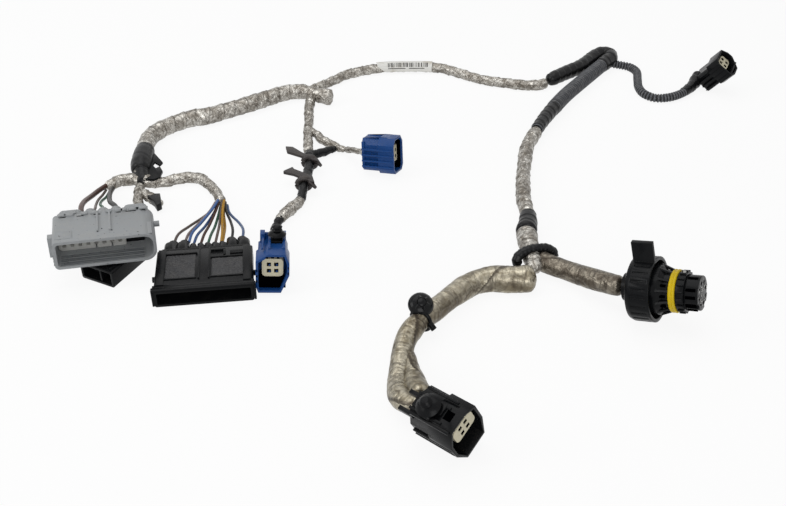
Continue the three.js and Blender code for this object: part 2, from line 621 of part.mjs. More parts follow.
// A sleeve round the trunk with a fin whose hook opens sideways; the trunk runs along local X
function trunkClip() {
  const { bore, wall, length, finThickness, finReach, hookLength, mouthRadius } = TRUNK_CLIP;
  const outer = bore + wall;
  const [riseLength, riseHeight] = TRUNK_CLIP.finRise;
  const [bevelLength, bevelHeight] = TRUNK_CLIP.tipBevel;
  const sleeve = rodX(outer, -length / 2, length / 2, 0, 0, ROUND_STEPS);
  const fin = prismZ(shapeOf([
    [-length / 2, -bore], [-length / 2, -outer], [-length / 2 + riseLength, -outer - riseHeight],
    [hookLength / 2 - bevelLength, -finReach], [hookLength / 2, -finReach + bevelHeight],
    [hookLength / 2, -bore],
  ]), -finThickness / 2, finThickness / 2);
  const drill = new THREE.CylinderGeometry(mouthRadius, mouthRadius, finThickness * 2, BOSS_STEPS);
  const mouth = toSolid(
    drill.rotateX(Math.PI / 2).translate(TRUNK_CLIP.mouthOffset, -outer - TRUNK_CLIP.mouthSink, 0));
  const gap = block(
    TRUNK_CLIP.throat, [-finReach - OVERCUT, -outer - TRUNK_CLIP.mouthSink], [-finThickness, finThickness]);
  const hole = rodX(bore, -length, length, 0, 0, ROUND_STEPS);
  return cut(join([sleeve, fin]), [mouth, gap, hole]);
}

// A sleeve round the branch under a flange plate with two prongs at one end; the branch runs along local X
function edgeClip() {
  const { plateLength, plateDepth, plateThickness, bore, wall, length } = EDGE_CLIP;
  const { prongReach, prongThickness } = EDGE_CLIP;
  const outer = bore + wall;
  const sleeve = rodX(outer, -length / 2, length / 2, 0, 0, SLEEVE_STEPS);
  const plateBase = outer - plateThickness / 2;
  const [left, right] = [-plateLength / 2 - EDGE_CLIP.plateOffset, plateLength / 2 - EDGE_CLIP.plateOffset];
  const plate = block(
    [-plateDepth / 2, plateDepth / 2], [left, right], [plateBase, plateBase + plateThickness]);
  const prongs = [0, 1].map((i) => {
    const y = left + i * EDGE_CLIP.prongGap;
    return block(
      [-plateDepth / 2, plateDepth / 2], [y, y + prongThickness],
      [plateBase - prongReach, plateBase + plateThickness / 2]);
  });
  const hole = rodX(bore, -length, length, 0, 0, SLEEVE_STEPS);
  return cut(join([sleeve, plate, ...prongs]), [hole]);
}

function junctionStrap() {
  const { halfWidth, halfHeight, thickness } = JUNCTION_STRAP;
  const middle = halfWidth - thickness / 2;
  const ring = new THREE.TorusGeometry(middle, thickness / 2, STRAP_STEPS, ROUND_STEPS);
  return toSolid(ring.scale(1, (halfHeight - thickness / 2) / middle, 1).rotateX(Math.PI / 2));
}

// A strap round the sleeve with a head and an umbrella clip on top; the sleeve runs along local X
function sleeveClip() {
  const { bore, strapWall, strapWidth, headLength, headWidth, headHeight } = SLEEVE_CLIP;
  const outer = bore + strapWall;
  const band = rodX(outer, -strapWidth / 2, strapWidth / 2, 0, 0, ROUND_STEPS);
  const head = block(
    [-headLength / 2, headLength / 2], [-headWidth / 2, headWidth / 2], [bore, bore + headHeight]);
  const stud = umbrella(bore + headHeight / 2 + strapWall, SLEEVE_CLIP.discRadius);
  const hole = rodX(bore, -headLength, headLength, 0, 0, ROUND_STEPS);
  return cut(join([band, head, stud]), [hole]);
}

// A flag label with one pointed end, folded round the run; local X along the run
function flagLabel() {
  const { length, width, thickness, pointLength } = LABEL;
  return prismZ(shapeOf([
    [-length / 2, 0], [-length / 2 + pointLength, -width / 2], [length / 2, -width / 2],
    [length / 2, width / 2], [-length / 2 + pointLength, width / 2],
  ]), 0, thickness);
}

// Where each plug and clip lies on the table
const GREY_PLACE = { x: -229.5, y: -93, heading: -75.5, pitch: 1.5, roll: -2.5 };
const GREY_LIFT = 1.9;
const BLACK_PLACE = { x: -163, y: -115.5, heading: -83 };
const SMALL_PLACE = { x: -238, y: -93, heading: -116 };
const NEIGHBOUR_GAP = 0.15;
const BLUE_LEFT_PLACE = {
  x: BLACK_PLACE.x + BLACK.width / 2 + BLUE_LEFT.width / 2 + NEIGHBOUR_GAP, y: -106.7,
  heading: -84.8, pitch: 6, roll: -4,
};
const BLUE_RIGHT_PLACE = { x: -35.5, y: 44.5, heading: -21, pitch: 7, roll: -12 };
const LOWER_PLACE = { x: 5.6, y: -245.3, heading: -42, pitch: 4, roll: 27 };
const UPPER_PLACE = { x: 262.1, y: 182.1, heading: -43, pitch: 52, roll: 20 };
const ROUND_PLACE = { x: 113.2, y: -122.6, heading: -29, pitch: 15 };
const TRUNK_CLIP_PLACE = { x: -236.6, y: 55, heading: 94 };
const EDGE_CLIP_A_PLACE = { x: -105.2, y: 57, heading: 96, roll: 20 };
const EDGE_CLIP_B_PLACE = { x: -107, y: 26, heading: 86, roll: 20 };
const STRAP_PLACE = { x: 57, y: -72, heading: 14 };
const SLEEVE_CLIP_PLACE = { x: -24.5, y: -146, heading: 56 };
const LABEL_PLACE = { x: -26, y: 222.3, z: 7.9, heading: 0, roll: 54 };
const CENTRE_SHIFT = [3, 17, 0];

// Centrelines of the branches and leads, chosen by hand along the photographed route: [x, y, z]
const ROUTES = {
  trunk: [
    [-235.2, 35.9, 9], [-236, 46, 9], [-236.6, 55, 9], [-237.3, 64, 9], [-238.4, 78, 7.8],
    [-238, 93, 6.7], [-232, 105, 6.6], [-222, 115.5, 6.6], [-210.5, 124, 6.6], [-196, 129.5, 6.6],
    [-182, 138.5, 6.6], [-167, 148.5, 6.6], [-150, 161, 6.6], [-132, 172, 6.6], [-119, 173.5, 6.6],
    [-106, 167, 6.6], [-93, 162.5, 6.6],
  ],
  thinRun: [
    [-113, 180.4, 4.8], [-103.5, 190.5, 4.3], [-91, 203, 4.3], [-84, 211, 4.3], [-64, 221.5, 4.3],
    [-52, 225.5, 4.3], [-26, 227.5, 4.3], [3.5, 225.5, 4.3], [23, 213, 4.3], [42.5, 201, 4.3],
    [61.5, 195, 4.3], [78, 191, 4.3], [90, 191.5, 4.3], [98.5, 195, 4.3],
  ],
  tapedConduit: [
    [100, 196.3, 6.3], [117.8, 212, 6.3], [132.5, 224.5, 6.3], [146.3, 241.3, 6.3],
    [156.5, 250.5, 6.3],
  ],
  ribbedConduit: [
    [156.5, 232.5, 6.5], [144, 214.5, 6.5], [127.5, 191, 6.5], [111.5, 167.5, 6.5], [99.5, 147, 6.5],
    [88, 125.5, 6.5], [78.5, 104.5, 6.5],
  ],
  thinConduit: [
    [166, 234.5, 3.9], [172, 232.5, 3.9], [179.5, 228, 3.9], [183.5, 219, 3.9], [181.5, 203, 3.9],
    [179.5, 187, 3.9], [182, 174.5, 3.9], [190, 167, 3.9], [202, 168, 3.9], [215, 175.5, 3.9],
    [226.5, 187.5, 4.2], [234.3, 199.2, 5.5],
  ],
  drop: [
    [78.2, 103.8, 6.2], [68.5, 80, 5.5], [62.7, 50.2, 5.5], [59, 22.3, 5.5], [57.2, -2.8, 5.5],
    [58, -17.4, 5.5], [57.3, -29, 5.5], [54.7, -42, 6.4], [54, -58, 8.3], [54.5, -72, 8.7],
    [54.8, -80, 8.8], [55, -90.2, 8.6],
  ],
  leftSleeve: [
    [55, -97.5, 8], [41.2, -98.5, 7.2], [25.4, -97.5, 6.8], [11.7, -103.5, 6.8], [0.5, -114.5, 6.8],
    [-11.1, -128.5, 7.6], [-24.5, -146, 9.5], [-31.5, -158.5, 7.8], [-34.5, -171.1, 6.8],
    [-36, -185, 6.8], [-37.5, -199, 7], [-36.5, -211.5, 9.5], [-31.5, -221.5, 13.6],
    [-23.8, -228.7, 16.6],
  ],
  rightSleeve: [
    [67.7, -82.9, 6.8], [81.2, -93.7, 8.5], [95.3, -108, 13], [102.5, -115.4, 15.6],
    [107.6, -119.4, 17.4],
  ],
  branch: [
    [-112, 162.2, 4.4], [-112.2, 143.8, 3.7], [-110.8, 122.5, 3.7], [-110.5, 105.4, 3.7],
    [-108.8, 86, 3.7], [-107.9, 73, 4],
  ],
  branchTail: [
    [-107.6, 72, 4.2], [-106.2, 65, 5.8], [-105.2, 57, 6.2], [-105.2, 49, 6.2], [-106, 38, 6.2],
    [-107, 26, 6.2], [-107.8, 16, 5.8], [-108.6, 6.4, 4.2], [-111, -1.5, 3.7], [-115.4, -8.5, 3.7],
    [-120.5, -18, 3.7], [-124.2, -27.8, 3.8],
  ],
  blueLeftLead: [
    [-124.5, -28.8, 3.8], [-125, -41, 4.6], [-124.2, -53, 7], [-122.6, -65, 11], [-121.4, -73, 13.4],
    [-121, -76.6, 13.8],
  ],
  sideBranch: [
    [-103, 102.5, 3.6], [-98.2, 93.8, 3.6], [-90.5, 87.2, 3.6], [-83.7, 80.8, 3.7], [-78.5, 76.4, 4.3],
  ],
  blueRightLead: [
    [-77.6, 75.6, 4.6], [-73.5, 69.5, 8.2], [-69, 62.5, 11.6], [-65, 58.9, 13], [-61.6, 57.6, 13.4],
  ],
  tapeLink: [[-91.3, 78.2, 3.1], [-96, 73.8, 3.2], [-101.8, 69.6, 4]],
  leftArm: [
    [-229.5, 28.5, 4.8], [-240.6, 30.5, 4.8], [-248.3, 29.5, 4.8], [-253.2, 25.1, 4.8],
    [-257.2, 19.4, 4.8],
  ],
  rightArm: [
    [-220.9, 25.4, 4.2], [-213.4, 28.2, 4.2], [-205.7, 32.5, 4.2], [-197.4, 34, 4.2],
    [-188.7, 32.5, 4.2], [-180.5, 23.9, 4.2], [-173.8, 13.9, 4.2], [-169.2, 3.6, 4.2],
    [-168, -0.8, 4.2],
  ],
  smallPlugBranch: [
    [-232.5, 23.4, 3.9], [-232, 12, 3.8], [-229, -2, 3.8], [-223, -18, 3.8], [-218, -34, 4.6],
    [-218.3, -50, 6.3], [-222.8, -61.9, 6.5],
  ],
  spliceStub: [[-224.2, 8, 3.6], [-219.5, 4.5, 3.6], [-212, -2.5, 3.6]],
  greyWires: [
    [
      [-259.4, 18.4, 6.2], [-261, 8, 8.2], [-259.5, -5.4, 12], [-259.5, -25.6, 20],
      [-256.5, -42, 27.5], [-254, -54, 30.2],
    ],
    [
      [-257.2, 15.8, 4.3], [-256.8, 5, 7], [-256.3, -7.7, 11], [-251.6, -29.6, 20], [-247.5, -43, 27],
      [-246.2, -52, 29.8],
    ],
    [
      [-254.5, 14.4, 3.6], [-253.9, 4, 6], [-253.8, -8, 10.2], [-248.5, -28.3, 20], [-242.5, -42, 27],
      [-240.5, -50.5, 29.6],
    ],
    [
      [-252, 16.4, 5.6], [-250.2, 6, 7.8], [-249.2, -7.8, 12], [-241.1, -28.2, 20.5], [-234, -40, 27],
      [-230.8, -48, 29.1],
    ],
  ],
  blackWires: [
    [[-172.8, -2, 2.6], [-176, -13, 2.4], [-186.5, -31, 3.5], [-191.6, -46, 6.8], [-192.4, -58.8, 7.6]],
    [[-171.6, -2, 5.2], [-174, -13, 5], [-180.5, -31, 5], [-184.2, -46, 7.2], [-185, -57.8, 7.6]],
    [[-170.4, -2, 2.6], [-171.8, -13, 2.4], [-175.4, -31, 3.2], [-178, -47, 6.8], [-178.6, -60.1, 7.6]],
    [[-169.2, -2, 5.2], [-170, -13, 5], [-171.8, -31, 5], [-173.2, -47, 7.2], [-173.7, -59.5, 7.6]],
    [[-168, -2, 2.6], [-168, -13, 2.4], [-168.2, -31, 3.2], [-168.5, -47, 6.8], [-168.7, -58.9, 7.6]],
    [[-166.8, -2, 5.2], [-166.2, -13, 5], [-164.8, -31, 5], [-163.9, -47, 7.2], [-163.7, -58.3, 7.6]],
    [[-165.6, -2, 2.6], [-164.4, -13, 2.4], [-161, -31, 3.2], [-159.3, -47, 6.8], [-158.8, -57.7, 7.6]],
    [[-164.4, -2, 5.2], [-162.4, -13, 5], [-157, -28, 5], [-153.6, -42, 7.2], [-152.8, -53.9, 7.6]],
    [[-163.2, -2, 2.6], [-160.4, -12, 2.4], [-151, -27, 3.2], [-146.3, -41, 6.8], [-145.4, -53, 7.6]],
  ],
};

function cordMesh(name, radius, points, material) {
  const path = new THREE.CatmullRomCurve3(points.map((p) => new THREE.Vector3(...p)), false, 'centripetal');
  const sides = radius < THIN_CORD ? WIRE_SIDES : CORD_SIDES;
  const section = shapeOf(Array.from({ length: sides }, (_, i) => {
    const angle = i * 2 * Math.PI / sides;
    return [radius * Math.cos(angle), radius * Math.sin(angle)];
  }));
  const steps = Math.max(FEWEST_STEPS, Math.round(path.getLength() / (2 * radius * STEP_DIAMETERS)));
  const tube = new THREE.ExtrudeGeometry(section, { steps, extrudePath: path, bevelEnabled: false });
  return meshOf(name, toSolid(tube), material);
}

// Assembly
function harness() {
  const small = settle(place(groupOf([
    meshOf('small_plug_housing', smallHousing(), BLACK_PLASTIC),
    meshOf('small_plug_terminal_block', smallBlock(), BLACK_PLASTIC),
  ]), SMALL_PLACE));
  const grey = place(groupOf([
    meshOf('grey_plug_housing', greyHousing(), GREY_PLASTIC),
    meshOf('grey_plug_power_block', powerBlock(), CREAM_PLASTIC),
    meshOf('grey_plug_signal_block', signalBlock(), BLACK_PLASTIC),
    meshOf('grey_plug_rear_cover', rearCover(), GREY_PLASTIC),
  ]), GREY_PLACE);
  grey.position.z = SMALL.height + GAP + GREY_LIFT;
  const black = settle(place(groupOf([
    meshOf('black_plug_housing', blackHousing(), BLACK_PLASTIC),
    meshOf('black_plug_terminal_block', blackBlock(), BLACK_PLASTIC),
    meshOf('black_plug_wire_boots', wireBoots(), BLACK_PLASTIC),
  ]), BLACK_PLACE));
  const fourWayPlugs = [
    ['blue_left_plug', BLUE_LEFT, BLUE_PLASTIC, true, BLUE_LEFT_PLACE],
    ['blue_right_plug', BLUE_RIGHT, BLUE_PLASTIC, false, BLUE_RIGHT_PLACE],
    ['lower_plug', LOWER, BLACK_PLASTIC, true, LOWER_PLACE],
    ['upper_plug', UPPER, BLACK_PLASTIC, false, UPPER_PLACE],
  ].map(([name, size, plastic, hasClip, spot]) => (
    settle(place(fourWayPlug(name, size, plastic, hasClip), spot))));
  const round = settle(place(groupOf([
    meshOf('round_plug_body', roundBody(), BLACK_PLASTIC),
    meshOf('round_plug_lock_collar', lockCollar(), BLACK_PLASTIC),
    meshOf('round_plug_seal', roundSeal(), YELLOW_RUBBER),
    meshOf('round_plug_pin_insert', pinInsert(), BLACK_PLASTIC),
  ]), ROUND_PLACE));
  const holders = [
    ['trunk_hook_clip', trunkClip(), BLACK_PLASTIC, TRUNK_CLIP_PLACE],
    ['edge_clip_a', edgeClip(), CLIP_PLASTIC, EDGE_CLIP_A_PLACE],
    ['edge_clip_b', edgeClip(), CLIP_PLASTIC, EDGE_CLIP_B_PLACE],
    ['junction_strap', junctionStrap(), TAPE, STRAP_PLACE],
    ['sleeve_push_clip', sleeveClip(), BLACK_PLASTIC, SLEEVE_CLIP_PLACE],
  ].map(([name, solid, material, spot]) => settle(place(groupOf([meshOf(name, solid, material)]), spot)));
  const label = place(groupOf([meshOf('run_label', flagLabel(), PAPER)]), LABEL_PLACE);
  label.position.z = LABEL_PLACE.z;
  const cords = [
    cordMesh('trunk_foil_bundle', RADIUS.trunk, ROUTES.trunk, FOIL),
    cordMesh('upper_foil_run', RADIUS.thinRun, ROUTES.thinRun, FOIL),
    cordMesh('taped_conduit', RADIUS.tapedConduit, ROUTES.tapedConduit, TAPE),
    cordMesh('ribbed_conduit', RADIUS.ribbedConduit, ROUTES.ribbedConduit, CONDUIT),
    cordMesh('thin_conduit', RADIUS.thinConduit, ROUTES.thinConduit, CONDUIT),
    cordMesh('drop_foil_run', RADIUS.drop, ROUTES.drop, FOIL),
    cordMesh('left_foil_sleeve', RADIUS.leftSleeve, ROUTES.leftSleeve, FOIL),
    cordMesh('right_foil_sleeve', RADIUS.rightSleeve, ROUTES.rightSleeve, FOIL),
    cordMesh('branch_foil_run', RADIUS.branch, ROUTES.branch, FOIL),
    cordMesh('branch_taped_tail', RADIUS.tail, ROUTES.branchTail, TAPE),
    cordMesh('blue_left_lead', RADIUS.plugLead, ROUTES.blueLeftLead, TAPE),
    cordMesh('side_foil_branch', RADIUS.sideBranch, ROUTES.sideBranch, FOIL),
    cordMesh('blue_right_lead', RADIUS.plugLead, ROUTES.blueRightLead, TAPE),
    cordMesh('tape_link', RADIUS.link, ROUTES.tapeLink, TAPE),
    cordMesh('left_foil_arm', RADIUS.leftArm, ROUTES.leftArm, FOIL),
    cordMesh('right_foil_arm', RADIUS.rightArm, ROUTES.rightArm, FOIL),
    cordMesh('small_plug_branch', RADIUS.stub, ROUTES.smallPlugBranch, FOIL),
    cordMesh('splice_stub', RADIUS.stub, ROUTES.spliceStub, FOIL),
    ...ROUTES.greyWires.map((points, i) => cordMesh(
      `grey_plug_wire_${i + 1}`, GREY_WIRES[i].radius, points, GREY_WIRES[i].cover)),
    ...ROUTES.blackWires.map((points, i) => cordMesh(
      `black_plug_wire_${i + 1}`, RADIUS.wire, points, BLACK_WIRE_COVERS[i])),
  ];
  const whole = groupOf([
    small, grey, black, ...fourWayPlugs, round, ...holders, label, ...cords,
  ]);
  whole.position.set(...CENTRE_SHIFT);
  return whole;
}

export default harness();
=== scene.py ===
"""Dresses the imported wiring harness: crumpled foil runs, conduits, taped stretches and wires along their
routes, moulded plugs with their small details, clips, the paper label, the table and the camera.
"""

import json
import math
import random

import bmesh
import bpy
from mathutils import Matrix, Vector, noise


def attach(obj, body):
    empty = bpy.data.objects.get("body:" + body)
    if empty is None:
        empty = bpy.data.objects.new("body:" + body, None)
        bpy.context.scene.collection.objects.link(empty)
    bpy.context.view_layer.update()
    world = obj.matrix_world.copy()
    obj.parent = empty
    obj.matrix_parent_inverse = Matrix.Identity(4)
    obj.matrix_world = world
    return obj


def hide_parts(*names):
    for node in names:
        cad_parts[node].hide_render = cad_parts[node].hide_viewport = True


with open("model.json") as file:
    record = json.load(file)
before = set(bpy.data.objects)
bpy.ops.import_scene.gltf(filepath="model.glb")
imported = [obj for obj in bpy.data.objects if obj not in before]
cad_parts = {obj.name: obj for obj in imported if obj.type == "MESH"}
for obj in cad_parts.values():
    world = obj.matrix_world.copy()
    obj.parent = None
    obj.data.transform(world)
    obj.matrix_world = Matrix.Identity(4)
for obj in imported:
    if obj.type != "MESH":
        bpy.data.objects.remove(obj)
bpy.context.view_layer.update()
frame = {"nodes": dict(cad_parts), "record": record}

bl_info = {
    "name": "Wiring Harness Dressing",
    "version": (1, 0, 0),
    "blender": (4, 5, 0),
    "location": "View3D > Sidebar > Harness",
    "description": "Builds the visible runs, plugs, clips and label of a wiring harness",
    "category": "Object",
}

MM = 0.001
BODY = "harness"
COLLAR_BODY = "lock_collar"
CENTRE_SHIFT = Vector((3, 17, 0))
UP = Vector((0, 0, 1))
FLOOR = 0.0002
PATH_STEP = 1.5
SHARP_ANGLE = math.radians(35)
ROUNDED = ("foil", "sleeve", "tape")
END_ROUNDING = 3.5
END_GIRTH = 0.45
STRAP_GIRTH = 3.3
BALL_CENTRE = (-22.6, -138.5, 17.6)
BALL_LEAN = (0.1, -0.5, 0.86)
BALL_LOBES = 6
BALL_PROFILE = [(0, -3.2), (3.4, -3.2), (3.4, -0.6), (7.6, -1.2), (8.2, 0), (7.9, 1.4), (6.6, 3.0),
                (4.6, 4.1), (3.0, 4.5), (2.6, 5.4), (1.2, 6.0), (0, 6.1)]
SHEET_STEPS = 14
LABEL_SHARES = (0.335, 0.545)
LABEL_RADIUS = 5.3
INK_RADIUS = LABEL_RADIUS + 0.32
INK_DEPTH = 0.08
BAR_ANGLES = (18.0, 62.0)
LINE_ANGLES = (72.0, 78.0)
LABEL_POINT = 0.16
LABEL_BARS = (0.2, 0.93)
SKIN_RADIUS = 5.5
RAIL_DROP = 2.2
BLUE_RIGHT_TOP = 28.2
INSERT_SHIFT = (2.9, 1.0, 0.0)
PANEL_GRID = (56, 48)
PIN_MARKS = 26

# Stage, in metres and watts
WHITE = (1.0, 1.0, 1.0, 1.0)
TABLE_HALF = 6.0
TABLE_DROP = 0.0001
TABLE_WHITE = 0.9
WORLD_LIGHT = 0.3
CAMERA_PLACE = (-0.037, -0.618, 0.4185)
CAMERA_TILT = math.radians(54)
# Lamps: name, place, width, power
LAMPS = (
    ("overhead_softbox", (-0.3, 0.3, 1.5), 1.5, 11.0),
    ("front_softbox", (0.1, -1.5, 0.75), 0.9, 8.0),
    ("left_softbox", (-1.3, -0.3, 0.8), 0.7, 5.0),
)

# Outlines of the flat clip parts, in millimetres before CENTRE_SHIFT
TRUNK_FIN = [(-233.7, 69.7), (-219.4, 48.1), (-220.9, 43.6), (-225.7, 48.1), (-226.4, 43.6), (-223.2, 39.1),
             (-220.6, 42.1), (-217, 34.7), (-217.6, 25.9), (-221.7, 23), (-227.8, 23),
             (-238.6, 40), (-238.6, 64)]
SPLICE_TAB = [(-223.5, 3.6), (-220.8, 6.6), (-214.2, 6.8), (-210.8, -6.4), (-213.8, -9.6), (-217, -3.4)]
EDGE_CLIPS = (
    ("edge_clip_a", [(-125.6, 70.5), (-119.8, 69.9), (-111.3, 60.9), (-99.1, 52.2),
                     (-98.8, 47.8), (-123.7, 62.2)],
     (-105.4, 54, 6.2), -0.6),
    ("edge_clip_b", [(-124.1, 33.2), (-117.6, 39.2), (-115.8, 36.1), (-101.3, 26),
                     (-99.1, 16.6), (-102.7, 18.4),
                     (-115.8, 28.3), (-123.9, 31.4)],
     (-107.6, 22, 6.2), 0.8),
)

# Where the plugs lie: heading about Z, nose-up pitch and left-side-up roll in degrees, and a mount of theirs
# with the point that it has in the plug's own frame: +X the mating direction, mouth at x = 0, underside z = 0
PLUGS = {
    "grey": (-75.5, 1.5, -2.5, "grey_plug_power_face", (-18.7, -8.7, 8.55)),
    "black": (-83, 0, 0, "black_plug_face", (-12.7, 0, 5.4)),
    "small": (-116, 0, 0, "small_plug_face", (-6.7, 2.8, 5.4)),
    "blue_left": (-84.8, 6, -4, "blue_left_plug_face", (-3, 0, 17.6)),
    "blue_right": (-21, 7, -12, "blue_right_plug_face", (-3, 0, 14.7)),
    "lower": (-42, 4, 27, "lower_plug_face", (-4, 0, 21.25)),
    "upper": (-43, 52, 20, "upper_plug_face", (-3, 0, 12.9)),
    "round": (-29, 15, 0, "round_plug_face", (43.9, 0, 0)),
}

# Small mouldings: name, plug, finish, edge width, boxes as two corners, rods as ends, radii and sides; all in
# millimetres in the plug's own frame
DETAILS = (
    ("grey_plug_rear_lumps", "grey", "grey", 0.3,
     [((-34.4, a, 20.4), (-31.2, b, 22.3))
      for a, b in ((-29, -25), (-14, -10), (2, 6), (13, 15.5), (24, 29))],
     [((-33, a, 20.9), (-33, b, 20.9), 1.9, 1.6, 12) for a, b in ((-24, -19), (-8, -3), (8, 12), (17, 22))]),
    # Painted shade: near-black boxes in the slits along the rear top edge
    ("grey_plug_rear_slit_shade", "grey", "shadow", 0.0,
     [((-31.1, a, 20.9), (-30.4, b, 21.12))
      for a, b in ((-28, -24), (-17, -12.5), (-6, -1.5), (9, 12), (15, 22), (25, 28))]
     + [((-34.2, 22.4, 21), (-32, 23.4, 21.6)), ((-34.3, 12.2, 21), (-32.6, 12.8, 21.9))], []),
    # Painted shade: small dark spots in the channel between the ribs
    ("grey_plug_channel_marks", "grey", "shadow", 0.0, [],
     [((-9, 5.4, 20.9), (-9, 5.4, 21.2), 0.8, 0.6, 3), ((-8.6, -3.6, 20.9), (-8.6, -3.6, 21.2), 0.7, 0.5, 3),
      ((-12, -1, 20.9), (-12, -1, 21.15), 0.5, 0.4, 6), ((-14, 4.2, 20.9), (-14, 4.2, 21.15), 0.4, 0.4, 6)]),
    # Painted shade: darker grey lines between the ridges on the floor of the mouth
    ("grey_plug_floor_shade_lines", "grey", "grey_in_shade", 0.0,
     [((x, -29.5, 1.9), (x + 0.7, 24.5, 2.15)) for x in (-2.4, -4.2, -6.6, -8.4, -10.8, -12.6)], []),
    ("grey_plug_lip_ridges", "grey", "grey", 0.15,
     [((-4.2, -33.6, z), (-0.4, -32.5, z + 1.1)) for z in (3, 5.6, 8.2, 10.8, 13.4)]
     + [((-16, 20, 19.6), (-2, 31, 20.2)), ((-13, -31, 20.6), (-4, -20, 21.3))], []),
    # Painted shade: dark cones in the keyways at the top of the power block
    ("grey_plug_key_shade", "grey", "shadow", 0.0, [],
     [((-18.9, y, 14.6), (-18.5, y, 12.2), 1.5, 0.3, 3) for y in (-14, -4.6, 4.4)]),
    ("black_plug_frames", "black", "black", 0.15,
     [((-41, -27.2, 12.3), (-39.8, -5, 13.2)), ((-13, -27.2, 12.3), (-11.8, -5, 13.2)),
      ((-40, -27.2, 12.3), (-12, -26.2, 13.2)), ((-34.8, 4.2, 12.3), (-33.6, 27, 13.2)),
      ((-13, 4.2, 12.3), (-11.8, 27, 13.2)), ((-34, 26.2, 12.3), (-12, 27.2, 13.2)),
      ((-43, 4.2, 12.3), (-41.4, 14, 13.4)), ((-41.5, 12.6, 12.3), (-36, 14, 13.4)),
      ((-41, 17, 12.3), (-37, 25.6, 13.1))], []),
    ("black_plug_flange", "black", "black", 0.3,
     [((-3.4, -33.6, 12.0), (-0.1, 33.6, 13.5)), ((-3.4, -33.8, 0.4), (-0.1, -32.3, 13.3)),
      ((-3.4, 32.3, 0.4), (-0.1, 33.8, 13.3)), ((-6.5, -33, 12.2), (-3.4, 33, 12.9))], []),
    ("black_plug_large_boots", "black", "black", 0.3, [],
     [((-45.4, y, 7.4), (-57.2, y, 7.4), 4.5, 4.1, 24) for y in (-24.4, -16.2, 18.4, 26.2)]
     + [((-57, y, 7.4), (-58.4, y, 7.4), 4.1, 2.4, 24) for y in (-24.4, -16.2, 18.4, 26.2)]),
    ("black_plug_small_boots", "black", "black", 0.2, [],
     [((-45.4, y, 7.4), (-54.6, y, 7.4), 3.1, 2.8, 20) for y in (-8.8, -3.3, 2.2, 7.7, 12.8)]
     + [((-54.5, y, 7.4), (-55.6, y, 7.4), 2.8, 1.5, 20) for y in (-8.8, -3.3, 2.2, 7.7, 12.8)]),
    ("small_plug_divider", "small", "black", 0.2,
     [((-9, 2.2, 1.7), (-0.4, 3.6, 11.4)), ((-12, -11.8, 12.6), (-2, -9.4, 13.8)),
      ((-12, 9.4, 12.6), (-2, 11.8, 13.8))],
     []),
    ("blue_left_plug_posts", "blue_left", "blue", 0.3,
     [((-30.5, -8.6, 20), (-25, -5.4, 31)), ((-30.5, 5.4, 20), (-25, 8.6, 30.5)),
      ((-30, -6, 20), (-28.2, 6, 29.6)),
      ((-24, -7.4, 28), (-8, -6, 29.6)), ((-24, 6, 28), (-8, 7.4, 29.6))], []),
    # Painted shade: near-black boxes in the slots above the insert, in the side notches and filling the well
    # below the insert
    ("blue_left_plug_slot_shade", "blue_left", "shadow", 0.0,
     [((-0.8, y - 0.9, 26.1), (0.14, y + 0.9, 27.3)) for y in (-3.6, 0, 3.6)]
     + [((-0.8, -10.6, z), (0.14, -9.8, z + 1.6)) for z in (8, 12, 16)]
     + [((-0.8, 9.8, z), (0.14, 10.6, z + 1.6)) for z in (14, 18)]
     + [((-13.6, -8.6, 1.9), (-3.6, 8.6, 10.2))], []),
    ("blue_left_plug_pins", "blue_left", "blue", 0.0, [],
     [((-3.7, y, z), (-3.1, y, z), 0.75, 0.6, 10) for y in (-2, 2.7) for z in (14.7, 19.6)]),
    ("blue_right_plug_ribs", "blue_right", "blue", 0.15,
     [((-26.4, -10.7, z), (-0.8, -8.1, z + 1.3)) for z in (5, 9.4, 14, 18.4)]
     + [((-26.8, -8.9, 3.6), (-24.6, 8.9, 24.6))], []),
    # Painted shade: a near-black block filling the well of the mouth
    ("blue_right_plug_well_shade", "blue_right", "shadow", 0.0, [((-12.4, 4.6, 2.2), (-1.2, 7.9, 24))], []),
    ("lower_plug_rails", "lower", "black", 0.3,
     [((-37, y - 1.3, 25.5), (-27, y + 1.3, 29.6)) for y in (-8.4, 2.4)]
     + [((-27.5, -9.6, 30.4), (-1, -7.8, 32.4)), ((-27.5, 7.8, 30.4), (-6, 9.4, 32))], []),
    # Painted shade: a near-black plate in the latch recess
    ("lower_plug_latch_recess_shade", "lower", "shadow", 0.0,
     [((-9.4, -2.8, 30.6), (-4.4, 2.8, 31.2))], []),
    ("lower_plug_latch", "lower", "black", 0.2, [((-13.6, -2.2, 31), (-10.6, 4.4, 32.4))], []),
    ("lower_plug_side_ribs", "lower", "black", 0.15,
     [((-29, -13.3, z), (-1.5, -11.6, z + 1.1)) for z in (11, 15.4)], []),
    ("upper_plug_side_ribs", "upper", "black", 0.15,
     [((-28.5, -11.4, z), (-1, -9.4, z + 1.2)) for z in (5, 9.4, 13.8)]
     + [((-4, -10.9, 3), (-0.4, 8.4, 4.4))], []),
)
# Painted shade in the sockets of the four-way inserts, as dark boxes: name, plug, half the pitch, height of
# their middle, face, half the size
SOCKETS = (
    ("blue_left", "blue_left", 2.7, 17.2, -3.0, 1.75), ("lower", "lower", 2.9, 21.25, -1.1, 1.9),
    ("upper", "upper", 2.6, 12.9, -3.0, 1.5), ("blue_right", "blue_right", 2.4, 14.7, -3.0, 1.3),
)

